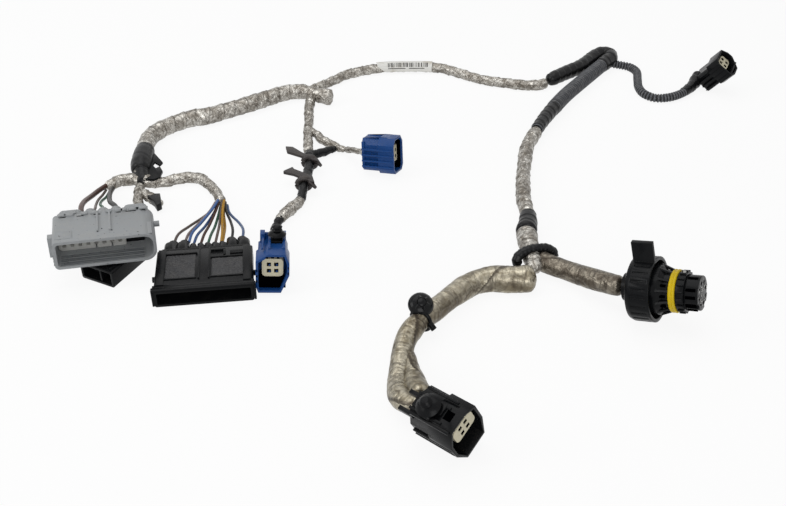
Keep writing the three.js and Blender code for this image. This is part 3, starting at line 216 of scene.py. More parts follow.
# Centrelines in millimetres before CENTRE_SHIFT: the same points as the frame's own runs, some reaching
# further into what they join
ROUTES = {
    "trunk": [(-234.4, 30, 7.4), (-235.2, 36.5, 9), (-236, 46, 9), (-236.6, 55, 9),
              (-237.3, 64, 9), (-238.4, 78, 7.8),
        (-238, 93, 6.7), (-232, 105, 6.6), (-222, 115.5, 6.6), (-210.5, 124, 6.6), (-196, 129.5, 6.6),
        (-182, 138.5, 6.6), (-167, 148.5, 6.6), (-150, 161, 6.6), (-132, 172, 6.6), (-119, 173.5, 6.6),
        (-106, 167, 6.6), (-93, 162.5, 6.6)],
    "thinRun": [(-118.5, 174.5, 5.6), (-112.6, 180.9, 4.8), (-103.5, 190.5, 4.3),
                (-91, 203, 4.3), (-84, 211, 4.3),
        (-64, 221.5, 4.3), (-52, 225.5, 4.3), (-26, 227.5, 4.3), (3.5, 225.5, 4.3), (23, 213, 4.3),
        (42.5, 201, 4.3), (61.5, 195, 4.3), (78, 191, 4.3), (90, 191.5, 4.3), (98.5, 195, 4.3)],
    "tapedConduit": [(100, 196.3, 6.3), (117.8, 212, 6.3), (132.5, 224.5, 6.3), (146.3, 241.3, 6.3),
        (156.5, 250.5, 6.3)],
    "ribbedConduit": [(156.5, 232.5, 6.5), (144, 214.5, 6.5), (127.5, 191, 6.5), (111.5, 167.5, 6.5),
        (99.5, 147, 6.5), (88, 125.5, 6.5), (78.5, 104.5, 6.5)],
    "thinConduit": [(158.5, 238.5, 4.6), (166, 234.9, 3.9), (172, 232.5, 3.9),
                    (179.5, 228, 3.9), (183.5, 219, 3.9),
        (181.5, 203, 3.9), (179.5, 187, 3.9), (182, 174.5, 3.9), (190, 167, 3.9), (202, 168, 3.9),
        (215, 175.5, 3.9), (226.5, 187.5, 4.2), (234.3, 199.2, 5.5)],
    "drop": [(78.2, 103.8, 6.2), (68.5, 80, 5.5), (62.7, 50.2, 5.5), (59, 22.3, 5.5), (57.2, -2.8, 5.5),
        (58, -17.4, 5.5), (57.3, -29, 5.5), (54.7, -42, 6.4), (54, -58, 8.3), (54.5, -72, 8.7),
        (54.8, -80, 8.8), (55, -90.2, 8.6)],
    "leftSleeve": [(55, -97.5, 8), (41.2, -98.5, 7.2), (25.4, -97.5, 6.8), (11.7, -103.5, 6.8),
        (0.5, -114.5, 6.8), (-11.1, -128.5, 7.6), (-24.5, -146, 9.5), (-31.5, -158.5, 7.8),
        (-34.5, -171.1, 6.8), (-36, -185, 6.8), (-37.5, -199, 7), (-36.5, -211.5, 9.5),
        (-31.5, -221.5, 13.6), (-23.8, -228.7, 16.6)],
    "rightSleeve": [(58.5, -76.5, 7.6), (67.7, -82.9, 6.8), (81.2, -93.7, 8.5),
                    (95.3, -108, 13), (102.5, -115.4, 15.6),
        (107.6, -119.4, 17.4)],
    "branch": [(-112.5, 170, 5.4), (-112, 162.2, 4.4), (-112.2, 143.8, 3.7),
               (-110.8, 122.5, 3.7), (-110.5, 105.4, 3.7),
        (-108.8, 86, 3.7), (-107.9, 73, 4)],
    "branchTail": [(-107.6, 72, 4.2), (-106.2, 65, 5.8), (-105.2, 57, 6.2), (-105.2, 49, 6.2),
        (-106, 38, 6.2), (-107, 26, 6.2), (-107.8, 16, 5.8), (-108.6, 6.4, 4.2), (-111, -1.5, 3.7),
        (-115.4, -8.5, 3.7), (-120.5, -18, 3.7), (-124.2, -27.8, 3.8)],
    "blueLeftLead": [(-124.5, -28.8, 3.8), (-125, -41, 4.6), (-124.2, -53, 7), (-122.6, -65, 11),
        (-121.4, -73, 13.4), (-121, -76.6, 13.8)],
    "sideBranch": [(-109.3, 110.5, 3.9), (-103, 102.5, 3.6), (-98.2, 93.8, 3.6),
                   (-90.5, 87.2, 3.6), (-83.7, 80.8, 3.7),
        (-78.5, 76.4, 4.3)],
    "blueRightLead": [(-77.6, 75.6, 4.6), (-73.5, 69.5, 8.2), (-69, 62.5, 11.6), (-65, 58.9, 13),
        (-61.6, 57.6, 13.4)],
    "tapeLink": [(-85.5, 80.5, 3.6), (-91.3, 77.6, 3.2), (-96, 73.8, 3.6),
                 (-101.8, 69.6, 4.4), (-105.4, 66.4, 5.4)],
    "leftArm": [(-229.5, 28.5, 4.8), (-240.6, 30.5, 4.8), (-248.3, 29.5, 4.8), (-253.2, 25.1, 4.8),
        (-257.2, 19.4, 4.8)],
    "rightArm": [(-230.5, 27.5, 5.2), (-220.9, 25.8, 4.5), (-213.4, 28.2, 4.2),
                 (-205.7, 32.5, 4.2), (-197.4, 34, 4.2),
        (-188.7, 32.5, 4.2), (-180.5, 23.9, 4.2), (-173.8, 13.9, 4.2), (-169.2, 3.6, 4.2),
        (-168, -0.8, 4.2)],
    "smallPlugBranch": [(-232.5, 23.4, 3.9), (-232, 12, 3.8), (-229, -2, 3.8), (-223, -18, 3.8),
        (-218, -34, 4.6), (-218.3, -50, 6.3), (-222.8, -61.9, 6.5)],
    "spliceStub": [(-229.2, 14.5, 3.9), (-224.2, 8.6, 3.7), (-219.5, 4.5, 3.6), (-212, -2.5, 3.6)],
    "greyWires1": [(-257.4, 21.4, 5.4), (-259.6, 11, 8.2), (-261.2, -5.4, 13), (-260.5, -25.6, 21),
        (-257.5, -42, 27.2), (-254, -54, 30.2)],
    "greyWires2": [(-257.2, 15.8, 4.3), (-256.8, 5, 7), (-256.3, -7.7, 11), (-251.6, -29.6, 20),
        (-247.5, -43, 27), (-246.2, -52, 29.8)],
    "greyWires3": [(-254.5, 14.4, 3.6), (-253.9, 4, 6), (-253.8, -8, 10.2), (-248.5, -28.3, 20),
        (-242.5, -42, 27), (-240.5, -50.5, 29.6)],
    "greyWires4": [(-252, 16.4, 5.6), (-250.4, 6, 9.6), (-247.4, -7.8, 15), (-241.1, -28.2, 22.5),
        (-234.6, -40, 27.2), (-230.8, -48, 29.1)],
    "blackWires1": [(-172.8, -2, 2.6), (-176, -13, 2.4), (-186.5, -31, 3.5), (-191.6, -46, 6.8),
        (-192.4, -58.8, 7.6)],
    "blackWires2": [(-171.6, -2, 5.2), (-174, -13, 5), (-180.5, -31, 5), (-184.2, -46, 7.2),
        (-185, -57.8, 7.6)],
    "blackWires3": [(-170.4, -2, 2.6), (-171.8, -13, 2.4), (-175.4, -31, 3.2), (-178, -47, 6.8),
        (-178.6, -60.1, 7.6)],
    "blackWires4": [(-169.2, -2, 5.2), (-170, -13, 5), (-171.8, -31, 5), (-173.2, -47, 7.2),
        (-173.7, -59.5, 7.6)],
    "blackWires5": [(-168, -2, 2.6), (-168, -13, 2.4), (-168.2, -31, 3.2), (-168.5, -47, 6.8),
        (-168.7, -58.9, 7.6)],
    "blackWires6": [(-166.8, -2, 5.2), (-166.2, -13, 5), (-164.8, -31, 5), (-163.9, -47, 7.2),
        (-163.7, -58.3, 7.6)],
    "blackWires7": [(-165.6, -2, 2.6), (-164.4, -13, 2.4), (-161, -31, 3.2), (-159.3, -47, 6.8),
        (-158.8, -57.7, 7.6)],
    "blackWires8": [(-164.4, -2, 5.2), (-162.4, -13, 5), (-157, -28, 5), (-153.6, -42, 7.2),
        (-152.8, -53.9, 7.6)],
    "blackWires9": [(-163.2, -2, 2.6), (-160.4, -12, 2.4), (-151, -27, 3.2), (-146.3, -41, 6.8),
        (-145.4, -53, 7.6)],
    "blackWires10": [(-169.8, -1.5, 6.6), (-171.6, -12, 7), (-177.8, -31, 6.4), (-181.6, -46, 8.2),
        (-182, -57.4, 8.2)],
    "blackWires11": [(-165.2, -1.5, 6.4), (-164.6, -13, 6.8), (-162.6, -31, 6.2), (-160.4, -46, 8),
        (-159.6, -57, 8.2)],
}


# Runs by frame node: route, radius, surface, girth along the run as (fraction, share of the radius)
RUNS = {
    "trunk_foil_bundle": ("trunk", 6.5, "foil", (
        (0, 0.6), (0.1, 0.9), (0.17, 0.98), (0.25, 1.04), (0.6, 1.06), (0.86, 1.0), (0.93, 0.86), (1, 1.12))),
    "upper_foil_run": ("thinRun", 4.2, "foil", ((0, 0.9), (0.3, 1.0), (0.8, 1.0), (1, 1.1))),
    "drop_foil_run": ("drop", 5.4, "foil", ((0, 0.95), (0.5, 1.0), (0.745, 1.0), (0.79, 1.38),
                                            (0.9, 1.2), (1, 1.0))),
    "left_foil_sleeve": ("leftSleeve", 6.6, "sleeve", (
        (0, 1.05), (0.03, 1.42), (0.12, 1.38), (0.25, 1.18), (0.38, 1.1), (0.46, 1.1), (0.5, 0.92),
        (0.57, 1.02), (0.75, 0.92), (0.88, 0.95), (1, 0.75))),
    "right_foil_sleeve": ("rightSleeve", 6.6, "sleeve", ((0, 1.0), (0.3, 1.0), (0.7, 1.12), (1, 1.05))),
    "branch_foil_run": ("branch", 3.6, "foil", ((0, 1.0), (0.15, 1.1), (0.6, 1.0), (1, 1.05))),
    "side_foil_branch": ("sideBranch", 3.4, "foil", ((0, 0.8), (0.5, 1.0), (1, 0.8))),
    "left_foil_arm": ("leftArm", 4.6, "foil", ((0, 0.9), (0.5, 1.05), (1, 0.9))),
    "right_foil_arm": ("rightArm", 4.0, "foil", ((0, 0.9), (0.4, 1.05), (0.85, 0.95), (1, 0.85))),
    "small_plug_branch": ("smallPlugBranch", 3.6, "foil", ((0, 1.0), (0.3, 1.0), (0.5, 0.9), (1, 0.8))),
    "splice_stub": ("spliceStub", 3.6, "foil", ((0, 0.9), (0.5, 1.1), (1, 0.8))),
    "ribbed_conduit": ("ribbedConduit", 6.4, "conduit", ((0, 1.0), (0.7, 1.0), (0.76, 0.84), (1, 0.8))),
    "thin_conduit": ("thinConduit", 3.8, "thin_conduit", ((0, 1.0), (1, 1.0))),
    "taped_conduit": ("tapedConduit", 6.2, "tape", ((0, 0.85), (0.1, 1.0), (1, 1.0))),
    "branch_taped_tail": ("branchTail", 3.6, "tape", ((0, 1.0), (0.45, 1.0), (0.6, 0.9), (1, 0.85))),
    "blue_left_lead": ("blueLeftLead", 2.2, "tape", ((0, 1.25), (0.4, 1.0), (1, 1.0))),
    "blue_right_lead": ("blueRightLead", 2.2, "foil", ((0, 1.2), (0.4, 1.0), (1, 1.0))),
    "tape_link": ("tapeLink", 3.1, "tape", ((0, 0.8), (0.5, 1.05), (1, 1.1))),
}
# Finishes of the surfaces that are named otherwise, and of single runs
COVER_FINISHES = {"thin_conduit": "conduit", "sleeve": "sleeve_foil"}
FINISHES = {"right_foil_sleeve": "dark_foil"}

# Wires: route, radius, colour name
WIRES = {
    "grey_plug_wire_1": ("greyWires1", 1.9, "brown"), "grey_plug_wire_2": ("greyWires2", 1.0, "tan"),
    "grey_plug_wire_3": ("greyWires3", 1.0, "green"), "grey_plug_wire_4": ("greyWires4", 1.8, "black"),
    "black_plug_wire_1": ("blackWires1", 1.0, "tan"), "black_plug_wire_2": ("blackWires2", 1.0, "pink"),
    "black_plug_wire_3": ("blackWires3", 1.0, "blue"), "black_plug_wire_4": ("blackWires4", 1.0, "brown"),
    "black_plug_wire_5": ("blackWires5", 1.0, "green"), "black_plug_wire_6": ("blackWires6", 1.0, "tan"),
    "black_plug_wire_7": ("blackWires7", 1.0, "yellow"), "black_plug_wire_8": ("blackWires8", 1.0, "black"),
    "black_plug_wire_9": ("blackWires9", 1.0, "slate"),
    "black_plug_wire_10": ("blackWires10", 1.0, "sky"), "black_plug_wire_11": ("blackWires11", 1.0, "yellow"),
}
WIRE_HEX = {
    "brown": "#43281f", "tan": "#594d48", "green": "#2a5340", "black": "#0c0c0d", "pink": "#7d6f6c",
    "blue": "#34507f", "yellow": "#a87c16", "slate": "#4f6284", "sky": "#44649a",
}

# Extra wrapped stretches: points or a share of a route, radius, surface, finish, girth profile
BANDS = {
    "trunk_sheath": ([(-237.4, 71, 8.6), (-236.8, 62, 9), (-236, 50, 9),
                      (-235.2, 42, 8.6), (-234.2, 35.5, 7.6)],
                     7.6, "wrap", "tape", ((0, 0.95), (0.35, 1.05), (0.7, 1.08), (0.85, 1.0), (1, 0.9))),
    "trunk_taped_neck": ([(-234.6, 38, 8), (-232.4, 31, 6.6), (-229.6, 22.5, 5)],
                         5.6, "tape", "tape", ((0, 1.15), (0.75, 1.0), (1, 0.75))),
    "junction_foil_knot": ([(-240, 29.8, 5), (-231.5, 27.8, 5.6), (-222, 26, 5)],
                           4.9, "foil", "foil", ((0, 0.9), (0.5, 1.1), (1, 0.85))),
    "drop_tape_band": (("drop", 0.63, 0.76), 6.4, "tape", "tape", ((0, 0.94), (0.5, 1.04), (1, 1.2))),
    "conduit_tape_foot": (("ribbedConduit", 0.66, 1.0), 6.0, "tape", "tape",
                          ((0, 1.06), (0.2, 0.95), (1, 0.86))),
    "breakout_cap": ([(143, 238, 6.4), (151, 246.6, 6.6), (157.6, 250.4, 6.8), (162.6, 247.2, 6.9),
                      (162.4, 240, 6.8), (157, 232.6, 6.7), (151, 224.4, 6.6)],
                     6.8, "tape", "tape", ((0, 0.96), (0.45, 1.04), (0.55, 1.04), (1, 0.98))),
    "tail_foil": (("branchTail", 0.66, 0.97), 3.9, "foil", "foil", ((0, 0.95), (0.5, 1.1), (1, 0.9))),
    "upper_neck_tape": ([(216, 176.4, 4), (226.5, 187.6, 4.6), (234.3, 199.2, 6.4), (237.6, 203.6, 8.6)],
                        4.6, "tape", "tape", ((0, 0.86), (0.45, 0.98), (0.8, 1.25), (1, 1.35))),
    "sleeve_foil_flap": ([(-33.5, -161, 6), (-31.6, -172, 6.4), (-29.6, -185, 6.9), (-27.6, -198, 8.4),
                          (-26, -209, 11.5), (-23.5, -219, 14)],
                         6.4, "sleeve", "sleeve_foil", ((0, 0.5), (0.3, 0.8), (0.7, 1.12), (1, 1.15))),
}

# How each covering is shaped, in millimetres, apart from what PANEL_SIZES adds
SURFACES = {
    "foil": {"Sides": 48, "Step": 0.8, "Crease": 0.3, "Wrap Height": 0.6, "Waviness": 0.35},
    "sleeve": {"Sides": 56, "Step": 0.8, "Crumple": 0.5, "Crumple Size": 10.0, "Crease": 0.15,
               "Wrap Height": 0.2, "Wrap Pitch": 90.0, "Waviness": 0.55},
    "wrap": {"Sides": 36, "Step": 0.8, "Crumple": 0.15, "Crumple Size": 8.0, "Wrap Height": 0.25,
             "Wrap Pitch": 16.0},
    "tape": {"Sides": 30, "Step": 0.8, "Crumple": 0.3, "Crumple Size": 6.0, "Crease": 0.15,
             "Wrap Height": 0.5, "Waviness": 0.15},
    "conduit": {"Sides": 32, "Step": 0.45},
    "thin_conduit": {"Sides": 28, "Step": 0.4, "Rib Height": 0.7, "Rib Pitch": 2.7},
    "wire": {"Sides": 14, "Step": 1.6},
}
# Inputs of a covering that come from the sizes in the panel
PANEL_SIZES = {
    "foil": {"Crumple": "dent_depth", "Crumple Size": "dent_size", "Wrap Pitch": "lap_pitch"},
    "tape": {"Wrap Pitch": "tape_pitch"},
    "conduit": {"Rib Height": "rib_height", "Rib Pitch": "rib_pitch"},
}

# Frame nodes that get softened edges: material, bevel width in millimetres
MOULDED = {
    "grey_plug_housing": ("grey", 0.55), "grey_plug_rear_cover": ("grey", 0.4),
    "grey_plug_power_block": ("pale", 0.2), "grey_plug_signal_block": ("black", 0.2),
    "black_plug_housing": ("black", 0.5), "black_plug_terminal_block": ("black", 0.2),
    "black_plug_wire_boots": ("black", 0.4),
    "small_plug_housing": ("black", 0.5), "small_plug_terminal_block": ("black", 0.2),
    "blue_left_plug_housing": ("blue", 0.5), "blue_left_plug_terminal_block": ("cream", 0.2),
    "blue_left_plug_push_clip": ("black", 0.25),
    "blue_right_plug_housing": ("blue", 0.45), "blue_right_plug_terminal_block": ("cream", 0.2),
    "lower_plug_housing": ("black", 0.55), "lower_plug_terminal_block": ("cream", 0.2),
    "lower_plug_push_clip": ("black", 0.25),
    "upper_plug_housing": ("black", 0.5), "upper_plug_terminal_block": ("cream", 0.2),
    "round_plug_body": ("black", 0.3), "round_plug_lock_collar": ("black", 0.35),
    "round_plug_seal": ("rubber", 0.25), "round_plug_pin_insert": ("black", 0.15),
}


def linear(code):
    """The linear colour of an sRGB hex value."""
    channels = [int(code[i:i + 2], 16) / 255 for i in (1, 3, 5)]
    return tuple(c / 12.92 if c <= 0.04045 else ((c + 0.055) / 1.055) ** 2.4 for c in channels)


def opaque(colour):
    """A colour with full opacity."""
    return (*colour, 1.0)


def size(name, description, default):
    """A length in the panel, in metres."""
    return bpy.props.FloatProperty(name=name, description=description, default=default,
                                   min=0.0, subtype="DISTANCE",
                                   unit="LENGTH", precision=5)


def shade(name, description, code):
    """A colour in the panel, from its sRGB code."""
    return bpy.props.FloatVectorProperty(name=name, description=description,
                                         default=linear(code), size=3, min=0.0,
                                         max=1.0, subtype="COLOR")


class HarnessSizes(bpy.types.PropertyGroup):
    """Sizes of the coverings"""
    dent_depth: size("Foil Dent Depth", "How far the foil's dents reach in and out", 0.6 * MM)
    dent_size: size("Foil Dent Size", "Distance between the dents of the foil", 6.5 * MM)
    lap_pitch: size("Foil Lap Pitch", "Distance between the turns of wound foil", 11.0 * MM)
    tape_pitch: size("Tape Pitch", "Distance between the turns of wound tape", 8.0 * MM)
    rib_pitch: size("Rib Pitch", "Distance between the ribs of the conduit", 2.9 * MM)
    rib_height: size("Rib Height", "How far the conduit's ribs stand proud", 1.1 * MM)


class HarnessColours(bpy.types.PropertyGroup):
    """Colours of the coverings and mouldings"""
    foil_dark: shade("Foil Creases", "Dirt and shade in the creases of the foil", "#3a332b")
    tape: shade("Tape", "Wound cloth tape", "#0c0c0e")
    grey: shade("Grey Plug", "Moulded grey plastic", "#8f9294")
    black: shade("Black Plugs", "Moulded black plastic", "#0e0f11")
    blue: shade("Blue Plugs", "Moulded blue plastic", "#12407c")
    cream: shade("Terminal Blocks", "Unpigmented plastic round the terminals", "#c9c2a8")
    rubber: shade("Seal", "Silicone seal of the round plug", "#cdb008")
    clip: shade("Edge Clips", "Worn black-brown plastic", "#2e2928")
    paper: shade("Label", "Coated label paper", "#e4e3de")


def add(tree, kind, links=None, **settings):
    """Adds a node with its settings; links maps an input's name or index to a value or to a node's output."""
    made = tree.nodes.new(kind)
    for name, value in settings.items():
        setattr(made, name, value)
    for key, value in (links or {}).items():
        if isinstance(value, bpy.types.NodeSocket):
            tree.links.new(value, made.inputs[key])
        else:
            made.inputs[key].default_value = value
    return made


def maths(tree, operation, *values):
    """The result of a maths node on values or outputs."""
    return add(tree, "ShaderNodeMath", dict(enumerate(values)), operation=operation).outputs[0]


def blend(tree, factor, first, second):
    """The result of mixing two colours."""
    made = add(tree, "ShaderNodeMix", {0: factor, 6: first, 7: second}, data_type="RGBA")
    return made.outputs[2]


def ramp(tree, value, low, high, to_low=0.0, to_high=1.0):
    """A value eased from one range to another."""
    made = add(tree, "ShaderNodeMapRange", {0: value, 1: low, 2: high, 3: to_low, 4: to_high},
               interpolation_type="SMOOTHSTEP")
    return made.outputs[0]


def speckle(tree, place, scale, detail, roughness=0.5):
    """Random values from 0 to 1 over a place, at a scale per unit of it."""
    return add(tree, "ShaderNodeTexNoise",
               {0: place, "Scale": scale, "Detail": detail, "Roughness": roughness}).outputs[0]


def fresh_material(name):
    """An emptied node material with its tree and object coordinates in millimetres."""
    material = bpy.data.materials.new(name)
    material.use_nodes = True
    tree = material.node_tree
    tree.nodes.clear()
    place = add(tree, "ShaderNodeTexCoord").outputs["Object"]
    scaled = add(tree, "ShaderNodeVectorMath", {0: place, 3: 1 / MM}, operation="SCALE").outputs[0]
    return material, tree, scaled


def finish_material(tree, shader):
    """Joins a shader to the material's output."""
    output = add(tree, "ShaderNodeOutputMaterial")
    tree.links.new(shader.outputs[0], output.inputs["Surface"])


def colours():
    """The colours that the panel holds."""
    return bpy.context.scene.harness_colours


def panel_sizes(surface):
    """The inputs, in millimetres, that a covering takes from the panel."""
    held = bpy.context.scene.harness_sizes
    return {label: round(getattr(held, name) / MM, 4) for label, name in PANEL_SIZES.get(surface, {}).items()}


def plastic(name, colour, dust, roughness=0.45, dust_colour="#a9a49b", grain=0.05, wear=0.0, gloss_level=0.5):
    """Moulded plastic with a satin grain. Dust lies on upward faces in soft patches and dulls them."""
    material, tree, place = fresh_material(name)
    patches = speckle(tree, place, 0.16, 4.0, 0.62)
    specks = speckle(tree, place, 1.7, 3.0, 0.7)
    facing = add(tree, "ShaderNodeSeparateXYZ",
                 {0: add(tree, "ShaderNodeNewGeometry").outputs["Normal"]}).outputs[2]
    upward = ramp(tree, facing, 0.2, 0.95, 0.12, 1.0)
    lying = maths(tree, "MULTIPLY", ramp(tree, patches, 0.42, 0.66), ramp(tree, specks, 0.35, 0.7))
    dusty = maths(tree, "MULTIPLY", maths(tree, "MULTIPLY", upward, lying), dust)
    shaded = blend(tree, ramp(tree, patches, 0.3, 0.7, 0.0, 0.25), opaque(colour),
                   opaque(tuple(c * 0.72 for c in colour)))
    body = blend(tree, dusty, shaded, opaque(linear(dust_colour)))
    if wear:
        marks = speckle(tree, place, 0.55, 2.0, 0.4)
        body = blend(tree, ramp(tree, marks, 0.69, 0.73, 0.0, wear), body, opaque(linear("#2a2724")))
    gloss = maths(tree, "ADD", ramp(tree, specks, 0.2, 0.8, roughness - 0.06, roughness + 0.08),
                  maths(tree, "MULTIPLY", dusty, 0.3))
    grit = speckle(tree, place, 3.2, 2.0, 0.6)
    bump = add(tree, "ShaderNodeBump", {"Strength": 0.35, "Distance": grain * MM, "Height": grit})
    finish_material(tree, add(tree, "ShaderNodeBsdfPrincipled", {
        "Base Color": body, "Roughness": gloss, "IOR": 1.5, "Specular IOR Level": gloss_level,
        "Normal": bump.outputs[0]}))
    return material


def foil(name, bright, mid, dark, along, across, folds, net, shine):
    """Aluminium foil tape pressed round a run: streaks along it, wrinkles across, creases and lap edges. The
    lighter streaks are partly random tone and partly painted glints; the pushed-in dents are darkened as
    painted shade.
    """
    material, tree, _ = fresh_material(name)
    skin = add(tree, "ShaderNodeAttribute", attribute_name="skin").outputs["Vector"]
    drift = add(tree, "ShaderNodeTexNoise", {0: skin, "Scale": 0.12, "Detail": 2.0}).outputs["Color"]
    bent = add(tree, "ShaderNodeVectorMath", {0: drift, 1: (8.0, 8.0, 8.0), 2: skin},
               operation="MULTIPLY_ADD").outputs[0]

    def drawn(stretch, scale, detail):
        pulled = add(tree, "ShaderNodeVectorMath", {0: bent, 1: stretch}, operation="MULTIPLY").outputs[0]
        return speckle(tree, pulled, scale, detail, 0.6)

    streaks = drawn(along, 1.0, 4.0)
    wrinkles = drawn(across, 1.0, 3.0)
    patches = drawn(along, 0.4, 3.0)
    creases = add(tree, "ShaderNodeTexVoronoi", {0: bent, "Scale": net},
                  feature="DISTANCE_TO_EDGE").outputs[0]
    seam = add(tree, "ShaderNodeAttribute", attribute_name="seam").outputs["Fac"]
    # Dent height, used below to paint shade into the pushed-in dents
    low = add(tree, "ShaderNodeAttribute", attribute_name="relief").outputs["Fac"]
    # Lighter streaks, also smoother where lighter: partly random tone, partly painted glints
    body = blend(tree, ramp(tree, streaks, 0.36, 0.64), opaque(linear(mid)), opaque(linear(bright)))
    body = blend(tree, ramp(tree, wrinkles, 0.5, 0.66, 0.0, 0.45), body, opaque(linear(dark)))
    body = blend(tree, ramp(tree, patches, 0.46, 0.7, 0.0, 0.6), body, opaque(linear(dark)))
    # Painted shade: the foil is darkened where its dents are pushed in
    body = blend(tree, ramp(tree, low, 0.48, 0.34, 0.0, 0.6), body, opaque(linear(dark)))
    body = blend(tree, ramp(tree, creases, 0.1, 0.02, 0.0, folds), body, opaque(colours().foil_dark))
    body = blend(tree, ramp(tree, seam, 0.90, 0.96, 0.0, 0.85), body, opaque(colours().foil_dark))
    height = maths(tree, "ADD", maths(tree, "ADD", streaks, wrinkles),
                   ramp(tree, creases, 0.0, 0.22, 0.0, 0.25))
    bump = add(tree, "ShaderNodeBump", {"Strength": 0.8, "Distance": 0.9 * MM, "Height": height})
    finish_material(tree, add(tree, "ShaderNodeBsdfPrincipled", {
        "Base Color": body, "Metallic": 0.8, "Normal": bump.outputs[0],
        "Roughness": ramp(tree, streaks, 0.35, 0.65, shine + 0.16, shine)}))
    return material


def conduit_material():
    """Corrugated tubing: satin black, with a painted grey highlight on the rib crests, patchy at random, and
    painted shade in the valleys between them.
    """
    material, tree, place = fresh_material("corrugated_polypropylene")
    rib = add(tree, "ShaderNodeAttribute", attribute_name="rib").outputs["Fac"]
    rub = speckle(tree, place, 0.3, 4.0)
    # Painted highlight: the rib crests are grey, lighter in random patches. Painted shade: the valleys are
    # near black
    crest_highlight = blend(tree, ramp(tree, rub, 0.4, 0.7), opaque(linear("#4c4e53")), opaque(linear("#68686a")))
    body = blend(tree, ramp(tree, rib, -0.75, -0.1), opaque(linear("#020203")), crest_highlight)
    finish_material(tree, add(tree, "ShaderNodeBsdfPrincipled", {
        "Base Color": body, "Roughness": 0.34, "IOR": 1.5, "Specular IOR Level": 0.3}))
    return material


def tape_material():
    """Wound cloth tape: matt black weave with rubbed, greyer turns and a dull sheen on the laps."""
    material, tree, place = fresh_material("wound_cloth_tape")
    rub = speckle(tree, place, 0.35, 4.0)
    seam = add(tree, "ShaderNodeAttribute", attribute_name="seam").outputs["Fac"]
    dark = opaque(colours().tape)
    rubbed = blend(tree, ramp(tree, rub, 0.5, 0.75, 0.0, 0.4), dark, opaque(linear("#35342f")))
    body = blend(tree, ramp(tree, seam, 0.9, 0.97, 0.0, 0.8), rubbed, opaque(linear("#0b0b0c")))
    # The weave is 0.3 mm in the real tape, and drawn at 0.8 mm so that it shows
    weave = speckle(tree, place, 1.25, 1.0)
    bump = add(tree, "ShaderNodeBump", {"Strength": 0.5, "Distance": 0.15 * MM, "Height": weave})
    finish_material(tree, add(tree, "ShaderNodeBsdfPrincipled", {
        "Base Color": body, "Roughness": 0.32, "IOR": 1.5, "Specular IOR Level": 0.2,
                                                                 "Normal": bump.outputs[0]}))
    return material


def wire_material(name, code):
    """PVC wire insulation, smooth and slightly glossy, greyed by dust in patches."""
    material, tree, place = fresh_material(f"{name}_wire_insulation")
    rub = speckle(tree, place, 0.3, 3.0)
    body = blend(tree, ramp(tree, rub, 0.5, 0.8, 0.0, 0.15), opaque(linear(code)), opaque(linear("#77726c")))
    bump = add(tree, "ShaderNodeBump", {"Strength": 0.2, "Distance": 0.05 * MM, "Height": rub})
    finish_material(tree, add(tree, "ShaderNodeBsdfPrincipled", {
        "Base Color": body, "Roughness": 0.34, "IOR": 1.5, "Specular IOR Level": 0.2,
                                                                 "Normal": bump.outputs[0]}))
    return material


def paper_material():
    """Coated paper: matt white, smudged brown by handling."""
    material, tree, place = fresh_material("coated_label_paper")
    smudge = speckle(tree, place, 0.14, 4.0)
    body = blend(tree, ramp(tree, smudge, 0.5, 0.72, 0.0, 0.6), opaque(colours().paper),
                 opaque(linear("#b3aa98")))
    bump = add(tree, "ShaderNodeBump", {"Strength": 0.25, "Distance": 0.2 * MM, "Height": smudge})
    finish_material(tree, add(tree, "ShaderNodeBsdfPrincipled", {
        "Base Color": body, "Roughness": 0.6, "IOR": 1.45, "Normal": bump.outputs[0]}))
    return material


